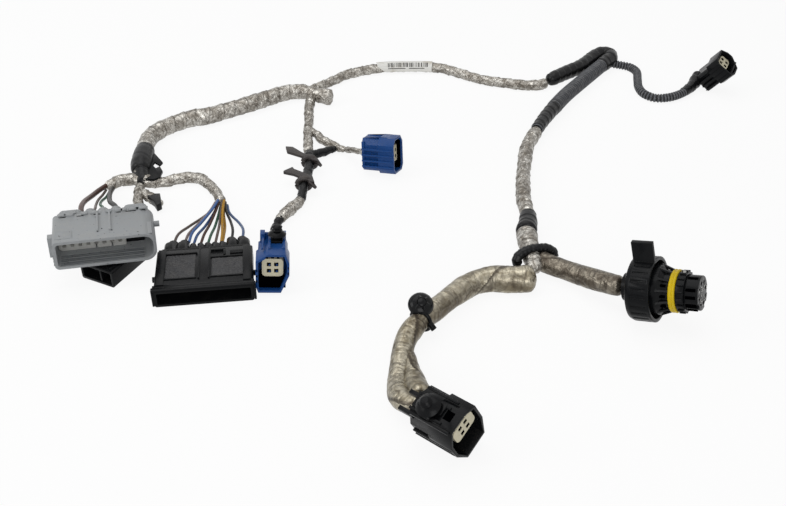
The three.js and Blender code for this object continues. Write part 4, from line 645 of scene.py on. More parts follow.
MAKERS = {
    "grey": lambda: plastic("grey_moulded_nylon", colours().grey, 0.35, 0.5, "#b4b1ab", wear=0.7),
    "black": lambda: plastic("black_moulded_nylon", colours().black, 0.03, 0.24, "#8b857c", gloss_level=0.1),
    "blue": lambda: plastic("blue_moulded_nylon", colours().blue, 0.1, 0.32, "#5d6f8f", gloss_level=0.25),
    "cream": lambda: plastic("natural_nylon", colours().cream, 0.2, 0.5, "#b9b09a"),
    "clip": lambda: plastic("worn_black_brown_nylon", colours().clip, 0.25, 0.42,
                            "#7c7064", gloss_level=0.35),
    "rubber": lambda: plastic("yellow_silicone_rubber", colours().rubber, 0.1, 0.42,
                              "#8f8560", gloss_level=0.25),
    "conduit": conduit_material,
    "pale": lambda: plastic("greyed_nylon", linear("#b3b3af"), 0.2, 0.5, "#8f8c86"),
    "grained": lambda: plastic("grained_black_nylon", linear("#1d1d20"), 0.12, 0.3, "#8b857c",
                               0.9, gloss_level=0.35),
    "grey_in_shade": lambda: plastic("grey_nylon_in_shade", linear("#6d7073"), 0.1, 0.5),
    # Painted shade: a near-black fill for slots, keyways, wells, recesses and sockets, where those openings
    # lie in shade
    "shadow": lambda: plastic("painted_shadow_fill", linear("#020203"), 0.0, 0.9, gloss_level=0.0),
    "gloss": lambda: plastic("glossy_black_nylon", colours().black, 0.02, 0.16, "#8b857c", gloss_level=0.15),
    "ink": lambda: plastic("printing_ink", linear("#1d1c1c"), 0.0, 0.6, gloss_level=0.1),
    # The wound foil is netted with creases; the sleeves are smoother, warmer and streaked along the run; the
    # first colour of each, that of the lighter streaks, is partly painted glints
    "foil": lambda: foil("crumpled_foil_tape", "#c8c5be", "#938e86", "#554d43",
                         (0.12, 0.3, 0.3), (0.5, 0.14, 0.14), 0.5, 0.26, 0.26),
    "sleeve_foil": lambda: foil("scorched_foil_sleeve", "#b5ae9c", "#7b725f", "#3f3529",
                                (0.02, 0.26, 0.26), (0.5, 0.06, 0.06), 0.35, 0.1, 0.27),
    "dark_foil": lambda: foil("worn_foil_sleeve", "#837c70", "#574f45", "#2b241d",
                              (0.03, 0.3, 0.3), (0.4, 0.1, 0.1), 0.4, 0.16, 0.3),
    "tape": tape_material,
    "paper": paper_material,
}
MADE = {}


def material_for(name):
    """The material of that finish, made once."""
    if name not in MADE:
        wire = name.removeprefix("wire_")
        MADE[name] = MAKERS[name]() if wire == name else wire_material(wire, WIRE_HEX[wire])
    return MADE[name]


# Meshes and pieces

def piece(name, mesh, finish, body=BODY, replaces=()):
    """Puts a mesh in the scene as a finished piece that rides on a body."""
    made = bpy.data.objects.new(name, mesh)
    bpy.context.collection.objects.link(made)
    mesh.materials.clear()
    mesh.materials.append(material_for(finish))
    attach(made, body)
    if replaces:
        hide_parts(*replaces)
    return made


def soften(mesh_data, width, angle=SHARP_ANGLE):
    """Merges, dissolves flat faces, bevels the edges and shades the rest smooth."""
    work = bmesh.new()
    work.from_mesh(mesh_data)
    bmesh.ops.remove_doubles(work, verts=work.verts, dist=0.002 * MM)
    bmesh.ops.dissolve_limit(work, angle_limit=math.radians(1.5), verts=work.verts, edges=work.edges)
    sharp = [e for e in work.edges if len(e.link_faces) == 2 and e.calc_face_angle(0) > angle]
    if width:
        bmesh.ops.bevel(work, geom=sharp, offset=width * MM, offset_type="OFFSET", segments=2, profile=0.5,
                        affect="EDGES", clamp_overlap=True)
    bmesh.ops.recalc_face_normals(work, faces=work.faces)
    work.to_mesh(mesh_data)
    work.free()
    mesh_data.polygons.foreach_set("use_smooth", [True] * len(mesh_data.polygons))
    mesh_data.set_sharp_from_angle(angle=SHARP_ANGLE)
    return mesh_data


def nudged(mesh, plug, change):
    """Moves a copied mesh's points by a change that is given in the plug's own frame."""
    matrix = plug_frame(plug)
    back = matrix.inverted()
    for vert in mesh.vertices:
        vert.co = matrix @ change(back @ vert.co)
    return mesh


def lower_rails(place):
    """The right blue plug's rails, drawn down towards its top face."""
    return place - Vector((0, 0, RAIL_DROP)) if place.z > BLUE_RIGHT_TOP else place


def forward_insert(place):
    """The lower plug's insert, as near its mouth as the photo shows it."""
    return place + Vector(INSERT_SHIFT)


ADJUSTED = {
    "blue_right_plug_housing": ("blue_right", lower_rails),
            "lower_plug_terminal_block": ("lower", forward_insert),
}


def dress_nodes(names):
    """Replaces frame nodes by copies of themselves with softened edges."""
    for name in names:
        finish, width = MOULDED[name]
        mesh = frame["nodes"][name].data.copy()
        mesh.name = f"{name}_skin"
        if name in ADJUSTED:
            nudged(mesh, *ADJUSTED[name])
        body = COLLAR_BODY if name == "round_plug_lock_collar" else BODY
        piece(f"{name}_skin", soften(mesh, width), finish, body, [name])


def plug_frame(name):
    """The matrix that takes millimetres in a plug's own frame to metres in the row frame."""
    heading, pitch, roll, mount_name, face = PLUGS[name]
    mount = next(m for m in frame["record"]["mounts"] if m["name"] == mount_name)
    turn = (Matrix.Rotation(math.radians(heading), 4, "Z") @ Matrix.Rotation(math.radians(-pitch), 4, "Y")
            @ Matrix.Rotation(math.radians(roll), 4, "X"))
    origin = Vector(mount["pos_m"]) - turn @ (Vector(face) * MM)
    return Matrix.Translation(origin) @ turn @ Matrix.Scale(MM, 4)


def add_box(work, low, high, taper=0.0):
    """A box in a bmesh between two corners; a taper draws its top in."""
    corners = bmesh.ops.create_cube(work, size=1.0)["verts"]
    for vert in corners:
        place = [(low[k] + high[k]) / 2 + vert.co[k] * (high[k] - low[k]) for k in range(3)]
        if taper and vert.co.z > 0:
            place[0] += -taper if vert.co.x > 0 else taper
            place[1] += -taper if vert.co.y > 0 else taper
        vert.co = place
    return corners


def add_rod(work, start, end, radius, tip=None, sides=20):
    """A rod or cone in a bmesh from one point to another."""
    start, end = Vector(start), Vector(end)
    along = end - start
    turn = along.to_track_quat("Z", "Y").to_matrix().to_4x4()
    place = Matrix.Translation((start + end) / 2) @ turn
    bmesh.ops.create_cone(work, cap_ends=True, segments=sides, radius1=radius,
                          radius2=radius if tip is None else tip, depth=along.length, matrix=place)


def moulding(name, frame_matrix, finish, boxes=(), rods=(), width=0.2, body=BODY):
    """One piece of several boxes and rods in a plug's own frame."""
    work = bmesh.new()
    for box in boxes:
        add_box(work, *box)
    for rod in rods:
        add_rod(work, *rod)
    bmesh.ops.transform(work, matrix=frame_matrix, verts=work.verts)
    mesh = bpy.data.meshes.new(name)
    work.to_mesh(mesh)
    work.free()
    return piece(name, soften(mesh, width), finish, body)


def grained_panel(name, plug, low, high, height, rise):
    """A slightly raised panel with a swirled, leather-like face, in a plug's own frame."""
    columns, rows = PANEL_GRID
    work = bmesh.new()
    grid = []
    for i in range(columns + 1):
        line = []
        for j in range(rows + 1):
            place = Vector((low[0] + (high[0] - low[0]) * i / columns,
                            low[1] + (high[1] - low[1]) * j / rows, 0))
            edge = min(i, columns - i, j, rows - j) / 2
            swirl = noise.turbulence(place * 0.35, 3, True) if edge else 0.0
            place.z = height + min(edge, 1.0) * rise * swirl
            line.append(work.verts.new(place))
        grid.append(line)
    for i in range(columns):
        for j in range(rows):
            work.faces.new((grid[i][j], grid[i + 1][j], grid[i + 1][j + 1], grid[i][j + 1]))
    bmesh.ops.transform(work, matrix=plug_frame(plug), verts=work.verts)
    mesh = bpy.data.meshes.new(name)
    work.to_mesh(mesh)
    work.free()
    mesh.polygons.foreach_set("use_smooth", [True] * len(mesh.polygons))
    return piece(name, mesh, "grained")


def holes_of(plug, half_width, centre_height, face, size):
    """Painted shade in the sockets of a four-way insert: dark boxes just behind its face."""
    side = INSERT_SHIFT[1] if plug == "lower" else 0.0
    return [((face - 4, side + y - size, z - size), (face - 0.3, side + y + size, z + size))
            for y in (-half_width, half_width)
            for z in (centre_height - half_width, centre_height + half_width)]


def round_details():
    """Struts, key slots and pin marks of the round plug, about its own axis; the key slots are near-black
    rods of painted shade.
    """
    def at(radius, degrees, x):
        return (x, radius * math.cos(math.radians(degrees)), radius * math.sin(math.radians(degrees)))

    struts = [(at(15.4, a, 18.8), at(12.8, a, 26.2), 1.1, 0.8, 8) for a in range(0, 360, 30)]
    struts += [(at(13.1, a, 31.4), at(13.1, a, 35.2), 0.7, 0.7, 8) for a in range(10, 370, 20)]
    moulding("round_plug_struts", plug_frame("round"), "black", rods=struts, width=0.0)
    # Painted shade: near-black rods in the key slots of the nose and the barrel
    slots = [(at(10.7, a, 36.6), at(10.7, a, 42.6), 1.1, 1.1, 8) for a in (95, 140, 165, 195, 225, 260)]
    slots += [(at(13.4, a, 21.4), at(12.9, a, 24.6), 0.9, 0.9, 8) for a in (135, 165, 195, 225)]
    moulding("round_plug_slot_shade", plug_frame("round"), "shadow", rods=slots, width=0.0)
    dots = [(at(12.5, a, 33.2), at(13.6, a, 33.2), 1.2, 1.0, 12) for a in (75, 285)]
    draw = random.Random(11)
    for _ in range(PIN_MARKS):
        radius, turn = draw.uniform(1.5, 9.0), draw.uniform(0, 360)
        dots.append((at(radius, turn, 43.8), at(radius, turn, 44.15), 0.5, 0.4, 8))
    moulding("round_plug_marks", plug_frame("round"), "pale", rods=dots, width=0.0)


def plug_details():
    """Small moulded features that the frame's plugs leave out, and near-black boxes of painted shade in their
    slots, wells and sockets.
    """
    for name, plug, finish, width, boxes, rods in DETAILS:
        moulding(name, plug_frame(plug), finish, boxes, rods, width)
    for name, plug, half_width, height, face, size in SOCKETS:
        # Painted shade: near-black boxes in the sockets
        moulding(f"{name}_sockets", plug_frame(plug), "shadow",
                 holes_of(plug, half_width, height, face, size))
    grained_panel("black_plug_left_panel", "black", (-39, -26), (-13, -6), 12.55, 0.7)
    grained_panel("black_plug_right_panel", "black", (-33, 5), (-13, 26), 12.55, 0.7)
    round_details()


def turned(name, profile, place, axis, finish, steps=40, replaces=()):
    """A surface turned from (radius, height) pairs about an axis through a place, all in millimetres."""
    work = bmesh.new()
    rings = []
    for radius, height in profile:
        count = 1 if radius == 0 else steps
        rings.append([work.verts.new((radius * math.cos(i * math.tau / count),
                                      radius * math.sin(i * math.tau / count),
                                      height)) for i in range(count)])
    for low, high in zip(rings, rings[1:]):
        for i in range(steps):
            corners = [low[i % len(low)], low[(i + 1) % len(low)],
                       high[(i + 1) % len(high)], high[i % len(high)]]
            work.faces.new(list(dict.fromkeys(corners)))
    turn = Vector(axis).to_track_quat("Z", "Y").to_matrix().to_4x4()
    matrix = Matrix.Scale(MM, 4) @ Matrix.Translation(Vector(place) + CENTRE_SHIFT) @ turn
    bmesh.ops.transform(work, matrix=matrix, verts=work.verts)
    mesh = bpy.data.meshes.new(name)
    work.to_mesh(mesh)
    work.free()
    return piece(name, soften(mesh, 0.0), finish, BODY, replaces)


def ring_path(centre, across, up, start, end, count=60):
    """Points in metres on an ellipse between two angles in degrees; its half axes are in millimetres."""
    centre, across, up = Vector(centre) + CENTRE_SHIFT, Vector(across), Vector(up)
    angles = [math.radians(start + (end - start) * i / count) for i in range(count + 1)]
    return [(centre + across * math.cos(a) + up * math.sin(a)) * MM for a in angles]


def junction_strap():
    """The thick cloth strap that arches over the place where the three lower runs meet."""
    path = ring_path((56.8, -76.5, 9.0), (13.0, 4.6, 0), (-1.5, 2.0, 5.6), -12, 200)
    girths = [STRAP_GIRTH * MM] * len(path)
    swept("junction_strap_band", path, girths, "tape", "tape", ["junction_strap"], 9.1, **{"Wrap Pitch": 3.0})


def ball_clip():
    """The strap round the left sleeve with its round-headed push clip, tilted towards the viewer."""
    path = ring_path((-22.4, -143, 8.9), (5.9, -4, 0), (0, 0, 7.1), -80, 280)
    swept("sleeve_clip_strap", path, [1.3 * MM] * len(path), "wire", "black", ["sleeve_push_clip"])
    centre, lean = Vector(BALL_CENTRE), Vector(BALL_LEAN).normalized()
    turned("sleeve_clip_ball", BALL_PROFILE, centre, lean, "gloss")
    side = lean.orthogonal().normalized()
    other = lean.cross(side)
    lobes = []
    for i in range(BALL_LOBES):
        angle = i * math.tau / BALL_LOBES
        out = side * math.cos(angle) + other * math.sin(angle)
        lobes.append((centre + CENTRE_SHIFT + lean * 4.6 + out * 2.2,
                      centre + CENTRE_SHIFT + lean * 0.8 + out * 7.2, 1.5, 1.1, 10))
    moulding("sleeve_clip_lobes", Matrix.Scale(MM, 4), "gloss", rods=lobes, width=0.0)
    tail = [(Vector((-17.5, -147, 10)) + CENTRE_SHIFT, Vector((-14.2, -149.4, 6.6)) + CENTRE_SHIFT,
             2.2, 2.0, 8)]
    moulding("sleeve_clip_tail", Matrix.Scale(MM, 4), "black", rods=tail, width=0.2)


def plate_piece(name, outline, low, high, finish, replaces=(), width=0.4):
    """A flat plate between two heights from an outline, all in millimetres."""
    work = bmesh.new()
    floor = [work.verts.new((*corner, low)) for corner in outline]
    top = [work.verts.new((*corner, high)) for corner in outline]
    work.faces.new(list(reversed(floor)))
    work.faces.new(top)
    for i in range(len(outline)):
        j = (i + 1) % len(outline)
        work.faces.new((floor[i], floor[j], top[j], top[i]))
    bmesh.ops.transform(work, matrix=Matrix.Scale(MM, 4) @ Matrix.Translation(CENTRE_SHIFT), verts=work.verts)
    bmesh.ops.triangulate(work, faces=[face for face in work.faces if len(face.verts) > 4])
    mesh = bpy.data.meshes.new(name)
    work.to_mesh(mesh)
    work.free()
    return piece(name, soften(mesh, width), finish, BODY, replaces)


def hook_clips():
    """The hook fin on the trunk's sheath, and the two edge clips with their leaf-shaped plates and rings."""
    plate_piece("trunk_clip_fin", TRUNK_FIN, 8.1, 9.9, "black", ["trunk_hook_clip"], 0.2)
    plate_piece("splice_end_tab", SPLICE_TAB, 1.6, 7.6, "tape", width=0.5)
    for name, outline, centre, lean in EDGE_CLIPS:
        plate_piece(f"{name}_plate", outline, 8.8, 11.2, "clip", [name], 0.5)
        path = ring_path(centre, (5.0, lean, 0), (0, 0, 4.7), -60, 300)
        swept(f"{name}_ring", path, [2.2 * MM] * len(path), "wire", "clip")
        x, y, z = centre
        prong = [(Vector((x + 4.5, y - 2, z + 3.2)) + CENTRE_SHIFT,
                  Vector((x + 9.4, y - 6, z)) + CENTRE_SHIFT,
                  2.4, 1.2, 6)]
        moulding(f"{name}_prong", Matrix.Scale(MM, 4), "clip", rods=prong, width=0.2)


def wrapped_sheet(work, path, radius, angles, thickness):
    """Adds to a bmesh a thin sheet bent round a path between two angles, from up towards the viewer."""
    rows = []
    for index, point in enumerate(path):
        ahead = path[min(index + 1, len(path) - 1)] - path[max(index - 1, 0)]
        along = ahead.normalized()
        top = (UP - along * UP.dot(along)).normalized()
        front = along.cross(top)
        low, high = angles(index / (len(path) - 1))
        row = []
        for step in range(SHEET_STEPS + 1):
            angle = math.radians(low + (high - low) * step / SHEET_STEPS)
            out = top * math.cos(angle) + front * math.sin(angle)
            row.append((work.verts.new(point + out * radius * MM),
                        work.verts.new(point + out * (radius + thickness) * MM)))
        rows.append(row)
    last = len(rows) - 1
    for i in range(last):
        for j in range(SHEET_STEPS):
            a, b, c, d = rows[i][j], rows[i + 1][j], rows[i + 1][j + 1], rows[i][j + 1]
            work.faces.new((a[0], b[0], c[0], d[0]))
            work.faces.new((a[1], d[1], c[1], b[1]))
        for j in (0, SHEET_STEPS):
            a, b = rows[i][j], rows[i + 1][j]
            work.faces.new((a[0], a[1], b[1], b[0]))
    for i in (0, last):
        for j in range(SHEET_STEPS):
            a, b = rows[i][j], rows[i][j + 1]
            work.faces.new((a[0], b[0], b[1], a[1]))


def sheet_piece(name, sheets, finish, replaces=()):
    """One piece of several bent sheets."""
    work = bmesh.new()
    for sheet in sheets:
        wrapped_sheet(work, *sheet)
    bmesh.ops.recalc_face_normals(work, faces=work.faces)
    mesh = bpy.data.meshes.new(name)
    work.to_mesh(mesh)
    work.free()
    mesh.polygons.foreach_set("use_smooth", [True] * len(mesh.polygons))
    mesh.set_sharp_from_angle(angle=SHARP_ANGLE)
    return piece(name, mesh, finish, BODY, replaces)


def label_angles(share):
    """The label covers the viewer's side of the run and ends in a point at its left."""
    draw_in = max(0.0, 1 - share / LABEL_POINT)
    return -48 + 30 * draw_in, 112 - 62 * draw_in


def wrap_label():
    """The paper label bent round the run, and the bars printed on it in two generic rows."""
    start, end = LABEL_SHARES

    def stretch(low, high, step):
        """Points of the run between two shares of the label's length."""
        return smooth_path(ROUTES["thinRun"], start + (end - start) * low, start + (end - start) * high, step)

    sheet_piece("label_wrap", [(stretch(0.0, 1.0, 1.0), LABEL_RADIUS, label_angles, 0.3)],
                "paper", ["run_label"])
    draw = random.Random(7)
    bars = []
    place = LABEL_BARS[0]
    while place < LABEL_BARS[1]:
        width = draw.choice((0.006, 0.010, 0.016))
        bars.append((stretch(place, place + width, 0.3), INK_RADIUS, lambda share: BAR_ANGLES, INK_DEPTH))
        place += width + draw.choice((0.009, 0.014, 0.02))
    for low, high in ((0.20, 0.52), (0.58, 0.86)):
        bars.append((stretch(low, high, 1.0), INK_RADIUS, lambda share: LINE_ANGLES, INK_DEPTH))
    sheet_piece("label_bars", bars, "ink")


# Routes

def curve_point(points, position):
    """A point on the centripetal curve through the points, at a position counted in spans."""
    last = len(points) - 1
    index = min(int(position), last - 1)
    weight = position - index
    second, third = points[index], points[index + 1]
    first = points[index - 1] if index > 0 else second * 2 - third
    fourth = points[index + 2] if index + 2 <= last else third * 2 - second
    knots = [0.0]
    for a, b in ((first, second), (second, third), (third, fourth)):
        knots.append(knots[-1] + math.sqrt(max((b - a).length, 1e-9)))
    t = knots[1] + (knots[2] - knots[1]) * weight

    def lerp(a, b, low, high):
        return a * ((high - t) / (high - low)) + b * ((t - low) / (high - low))

    a1 = lerp(first, second, knots[0], knots[1])
    a2 = lerp(second, third, knots[1], knots[2])
    a3 = lerp(third, fourth, knots[2], knots[3])
    b1 = lerp(a1, a2, knots[0], knots[2])
    b2 = lerp(a2, a3, knots[1], knots[3])
    return lerp(b1, b2, knots[1], knots[2])


def smooth_path(points, start=0.0, end=1.0, step=PATH_STEP):
    """Evenly spaced points in metres on the curve through route points, between two shares of its length."""
    route = [Vector(p) + CENTRE_SHIFT for p in points]
    fine = [curve_point(route, (len(route) - 1) * i / (len(route) * 24)) for i in range(len(route) * 24 + 1)]
    reached = [0.0]
    for a, b in zip(fine, fine[1:]):
        reached.append(reached[-1] + (b - a).length)
    total = reached[-1]
    count = max(4, round((end - start) * total / step))
    path, at = [], 0
    for i in range(count + 1):
        goal = total * (start + (end - start) * i / count)
        while at < len(reached) - 2 and reached[at + 1] < goal:
            at += 1
        span = reached[at + 1] - reached[at]
        path.append(fine[at].lerp(fine[at + 1], (goal - reached[at]) / span if span else 0.0) * MM)
    return path


def girth_at(profile, share):
    """The girth that a profile of (share, girth) pairs has there."""
    for (a, low), (b, high) in zip(profile, profile[1:]):
        if share <= b:
            weight = (share - a) / (b - a)
            weight = weight * weight * (3 - 2 * weight)
            return low + (high - low) * weight
    return profile[-1][1]


def covering_tree():
    """The node tree that sweeps a covering along a path: round section, dents, creases, ribs and laps."""
    tree = bpy.data.node_groups.new("swept_covering", "GeometryNodeTree")
    face = tree.interface
    face.new_socket("Geometry", in_out="INPUT", socket_type="NodeSocketGeometry")
    face.new_socket("Geometry", in_out="OUTPUT", socket_type="NodeSocketGeometry")
    defaults = {"Sides": 24, "Step": 1.0, "Crumple": 0.0, "Crumple Size": 5.0,
                "Crease": 0.0, "Rib Height": 0.0,
                "Rib Pitch": 3.0, "Wrap Height": 0.0, "Wrap Pitch": 10.0, "Waviness": 0.0, "Seed": 0.0}
    for name, value in defaults.items():
        kind = "NodeSocketInt" if name == "Sides" else "NodeSocketFloat"
        face.new_socket(name, in_out="INPUT", socket_type=kind).default_value = value
    face.new_socket("Material", in_out="INPUT", socket_type="NodeSocketMaterial")
    given = add(tree, "NodeGroupInput").outputs

    def scaled(name):
        return maths(tree, "MULTIPLY", given[name], MM)

    line = add(tree, "GeometryNodeMeshToCurve", {0: given["Geometry"]}).outputs[0]
    line = add(tree, "GeometryNodeResampleCurve", {0: line, 3: scaled("Step")}, mode="LENGTH").outputs[0]
    line = add(tree, "GeometryNodeSetCurveNormal", {0: line}, mode="Z_UP").outputs[0]
    girth = add(tree, "GeometryNodeInputNamedAttribute", {0: "girth"}, data_type="FLOAT").outputs[0]
    length = add(tree, "GeometryNodeSplineParameter").outputs[1]
    line = add(tree, "GeometryNodeStoreNamedAttribute", {0: line, 2: "along", 3: length}, data_type="FLOAT",
               domain="POINT").outputs[0]
    ring = add(tree, "GeometryNodeCurvePrimitiveCircle", {0: given["Sides"], 4: 1.0}).outputs[0]
    share = add(tree, "GeometryNodeSplineParameter").outputs[0]
    ring = add(tree, "GeometryNodeStoreNamedAttribute", {0: ring, 2: "turn", 3: share}, data_type="FLOAT",
               domain="POINT").outputs[0]
    ring = add(tree, "GeometryNodeStoreNamedAttribute", {
        0: ring, 2: "ring", 3: add(tree, "GeometryNodeInputPosition").outputs[0]}, data_type="FLOAT_VECTOR",
        domain="POINT").outputs[0]
    tube = add(tree, "GeometryNodeCurveToMesh", {0: line, 1: ring, 2: girth, 3: True}).outputs[0]

    along = add(tree, "GeometryNodeInputNamedAttribute", {0: "along"}, data_type="FLOAT").outputs[0]
    turn = add(tree, "GeometryNodeInputNamedAttribute", {0: "turn"}, data_type="FLOAT").outputs[0]
    position = add(tree, "GeometryNodeInputPosition").outputs[0]
    shift = add(tree, "ShaderNodeCombineXYZ", {0: given["Seed"], 1: given["Seed"], 2: 0.0}).outputs[0]
    pattern = add(tree, "ShaderNodeVectorMath",
                  {0: position, 3: maths(tree, "DIVIDE", 1.0, scaled("Crumple Size"))},
                  operation="SCALE").outputs[0]
    pattern = add(tree, "ShaderNodeVectorMath", {0: pattern, 1: shift}, operation="ADD").outputs[0]
    dents = add(tree, "ShaderNodeTexNoise", {0: pattern, 2: 1.0, 3: 3.0, 4: 0.6, 8: 0.5}).outputs[0]
    edges = add(tree, "ShaderNodeTexVoronoi", {0: pattern, 2: 1.35}, feature="DISTANCE_TO_EDGE").outputs[0]
    slow = add(tree, "ShaderNodeTexNoise", {0: pattern, 2: 0.28, 3: 1.0}).outputs[0]
    relief = maths(tree, "SUBTRACT", dents, 0.5)
    relief = maths(tree, "MULTIPLY", relief, 2.0)
    folds = maths(tree, "MINIMUM", maths(tree, "MULTIPLY", edges, 3.0), 1.0)
    swell = maths(tree, "MULTIPLY", maths(tree, "SUBTRACT", slow, 0.5),
                  maths(tree, "MULTIPLY", given["Waviness"], 4.0))
    cycle = maths(tree, "DIVIDE", along, scaled("Rib Pitch"))
    wave = maths(tree, "SINE", maths(tree, "MULTIPLY", cycle, math.tau))
    ribs = ramp(tree, wave, -0.45, 0.45, -1.0, 0.0)
    winding = maths(tree, "ADD", maths(tree, "DIVIDE", along, scaled("Wrap Pitch")), turn)
    wobble = maths(tree, "MULTIPLY", maths(tree, "SUBTRACT", slow, 0.5), 0.5)
    lap = maths(tree, "FRACT", maths(tree, "ADD", winding, wobble))
    height = maths(tree, "MULTIPLY", relief, given["Crumple"])
    creased = maths(tree, "MULTIPLY", maths(tree, "SUBTRACT", folds, 1.0), given["Crease"])
    height = maths(tree, "ADD", height, creased)
    height = maths(tree, "ADD", height, swell)
    height = maths(tree, "ADD", height, maths(tree, "MULTIPLY", ribs, given["Rib Height"]))
    height = maths(tree, "ADD", height, maths(tree, "MULTIPLY", lap, given["Wrap Height"]))
    height = maths(tree, "MULTIPLY", height, MM)
    # The dent height and the rib wave are kept for the materials, which paint shade into the pushed-in dents
    # and the rib valleys and a highlight on the rib crests
    tube = add(tree, "GeometryNodeStoreNamedAttribute", {0: tube, 2: "relief", 3: dents}, data_type="FLOAT",
               domain="POINT").outputs[0]
    tube = add(tree, "GeometryNodeStoreNamedAttribute", {0: tube, 2: "rib", 3: ribs}, data_type="FLOAT",
               domain="POINT").outputs[0]
    tube = add(tree, "GeometryNodeStoreNamedAttribute", {0: tube, 2: "seam", 3: lap}, data_type="FLOAT",
               domain="POINT").outputs[0]
    ring = add(tree, "GeometryNodeInputNamedAttribute", {0: "ring"}, data_type="FLOAT_VECTOR").outputs[0]
    around = add(tree, "ShaderNodeSeparateXYZ", {0: ring}).outputs
    skin = add(tree, "ShaderNodeCombineXYZ", {
        0: maths(tree, "ADD", maths(tree, "DIVIDE", along, MM), maths(tree, "MULTIPLY", given["Seed"], 10.0)),
        1: maths(tree, "MULTIPLY", around[0], SKIN_RADIUS),
        2: maths(tree, "MULTIPLY", around[1], SKIN_RADIUS)}).outputs[0]
    tube = add(tree, "GeometryNodeStoreNamedAttribute", {0: tube, 2: "skin", 3: skin},
               data_type="FLOAT_VECTOR",
               domain="POINT").outputs[0]
    normal = add(tree, "GeometryNodeInputNormal").outputs[0]
    offset = add(tree, "ShaderNodeVectorMath", {0: normal, 3: height}, operation="SCALE").outputs[0]
    tube = add(tree, "GeometryNodeSetPosition", {0: tube, 3: offset}).outputs[0]
    parts = add(tree, "ShaderNodeSeparateXYZ", {0: add(tree, "GeometryNodeInputPosition").outputs[0]}).outputs
    lifted = maths(tree, "MAXIMUM", parts[2], FLOOR)
    rest = add(tree, "ShaderNodeCombineXYZ", {0: parts[0], 1: parts[1], 2: lifted}).outputs[0]
    tube = add(tree, "GeometryNodeSetPosition", {0: tube, 2: rest}).outputs[0]
    tube = add(tree, "GeometryNodeSetShadeSmooth", {0: tube, 2: True}).outputs[0]
    tube = add(tree, "GeometryNodeRealizeInstances", {0: tube}).outputs[0]
    tube = add(tree, "GeometryNodeSetMaterial", {0: tube, 2: given["Material"]}).outputs[0]
    result = add(tree, "NodeGroupOutput")
    tree.links.new(tube, result.inputs[0])
    return tree


def swept(name, path, girths, surface, finish, replaces=(), seed=0.0, **changes):
    """A covering swept along a path, with a girth at each of its points, all in metres, as a mesh piece."""
    line = bpy.data.meshes.new(f"{name}_line")
    line.from_pydata(path, [(i, i + 1) for i in range(len(path) - 1)], [])
    girth = line.attributes.new("girth", "FLOAT", "POINT")
    girth.data.foreach_set("value", girths)
    holder = bpy.data.objects.new(f"{name}_holder", line)
    bpy.context.collection.objects.link(holder)
    tree = bpy.data.node_groups.get("swept_covering") or covering_tree()
    modifier = holder.modifiers.new("covering", "NODES")
    modifier.node_group = tree
    values = {**SURFACES[surface], **panel_sizes(surface), **changes, "Seed": seed,
              "Material": material_for(finish)}
    for socket in tree.interface.items_tree:
        if socket.in_out == "INPUT" and socket.name in values:
            modifier[socket.identifier] = values[socket.name]
    graph = bpy.context.evaluated_depsgraph_get()
    mesh = bpy.data.meshes.new_from_object(holder.evaluated_get(graph),
                                           preserve_all_data_layers=True, depsgraph=graph)
    mesh.name = name
    bpy.data.objects.remove(holder)
    bpy.data.meshes.remove(line)
    return piece(name, mesh, finish, BODY, replaces)


def end_rounding(path, index):
    """The share of its girth that a wrapped run keeps close to its ends."""
    near = min((path[index] - path[0]).length, (path[index] - path[-1]).length) / (END_ROUNDING * MM)
    return 1.0 if near >= 1 else END_GIRTH + (1 - END_GIRTH) * math.sqrt(1 - (1 - near) ** 2)


def route_stretch(place):
    """Points along a part of a run, from its route and two shares of its length."""
    route, start, end = place
    return smooth_path(ROUTES[route], start, end, 1.0)


def band_piece(name, place, radius, surface, finish, profile, seed):
    """A wrapped stretch over the ends where runs meet."""
    path = route_stretch(place) if isinstance(place, tuple) else smooth_path(place, step=1.0)
    last = len(path) - 1
    girths = [radius * MM * girth_at(profile, i / last) * end_rounding(path, i) for i in range(last + 1)]
    return swept(name, path, girths, surface, finish, (), seed)


def run_piece(name, route, radius, surface, finish, profile, seed):
    """A run along its whole route that stands for its frame node."""
    path = smooth_path(ROUTES[route])
    last = len(path) - 1
    girths = [radius * MM * girth_at(profile, i / last) for i in range(last + 1)]
    if surface in ROUNDED:
        girths = [g * end_rounding(path, i) for i, g in enumerate(girths)]
    made = swept(f"{name}_cover", path, girths, surface, finish,
                 [name] if name in frame["nodes"] else (), seed)
    return made


class HARNESS_OT_runs(bpy.types.Operator):
    """Builds the foil runs, conduits and taped runs along their routes"""
    bl_idname = "harness.runs"
    bl_label = "Build Runs"

    def execute(self, context):
        for index, (name, (route, radius, surface, profile)) in enumerate(RUNS.items()):
            finish = FINISHES.get(name, COVER_FINISHES.get(surface, surface))
            run_piece(name, route, radius, surface, finish, profile, index * 3.7)
        return {"FINISHED"}


class HARNESS_OT_wraps(bpy.types.Operator):
    """Builds the tape and foil wraps over the junctions, and the strap and the ball clip"""
    bl_idname = "harness.wraps"
    bl_label = "Build Wraps"

    def execute(self, context):
        for index, (name, (place, radius, surface, finish, profile)) in enumerate(BANDS.items()):
            band_piece(name, place, radius, surface, finish, profile, 50 + index * 2.3)
        junction_strap()
        ball_clip()
        hook_clips()
        return {"FINISHED"}


class HARNESS_OT_wires(bpy.types.Operator):
    """Builds the single wires that fan into the grey and black plugs"""
    bl_idname = "harness.wires"
    bl_label = "Build Wires"

    def execute(self, context):
        for name, (route, radius, colour) in WIRES.items():
            run_piece(name, route, radius, "wire", f"wire_{colour}", ((0, 1.0), (1, 1.0)), 0.0)
        return {"FINISHED"}


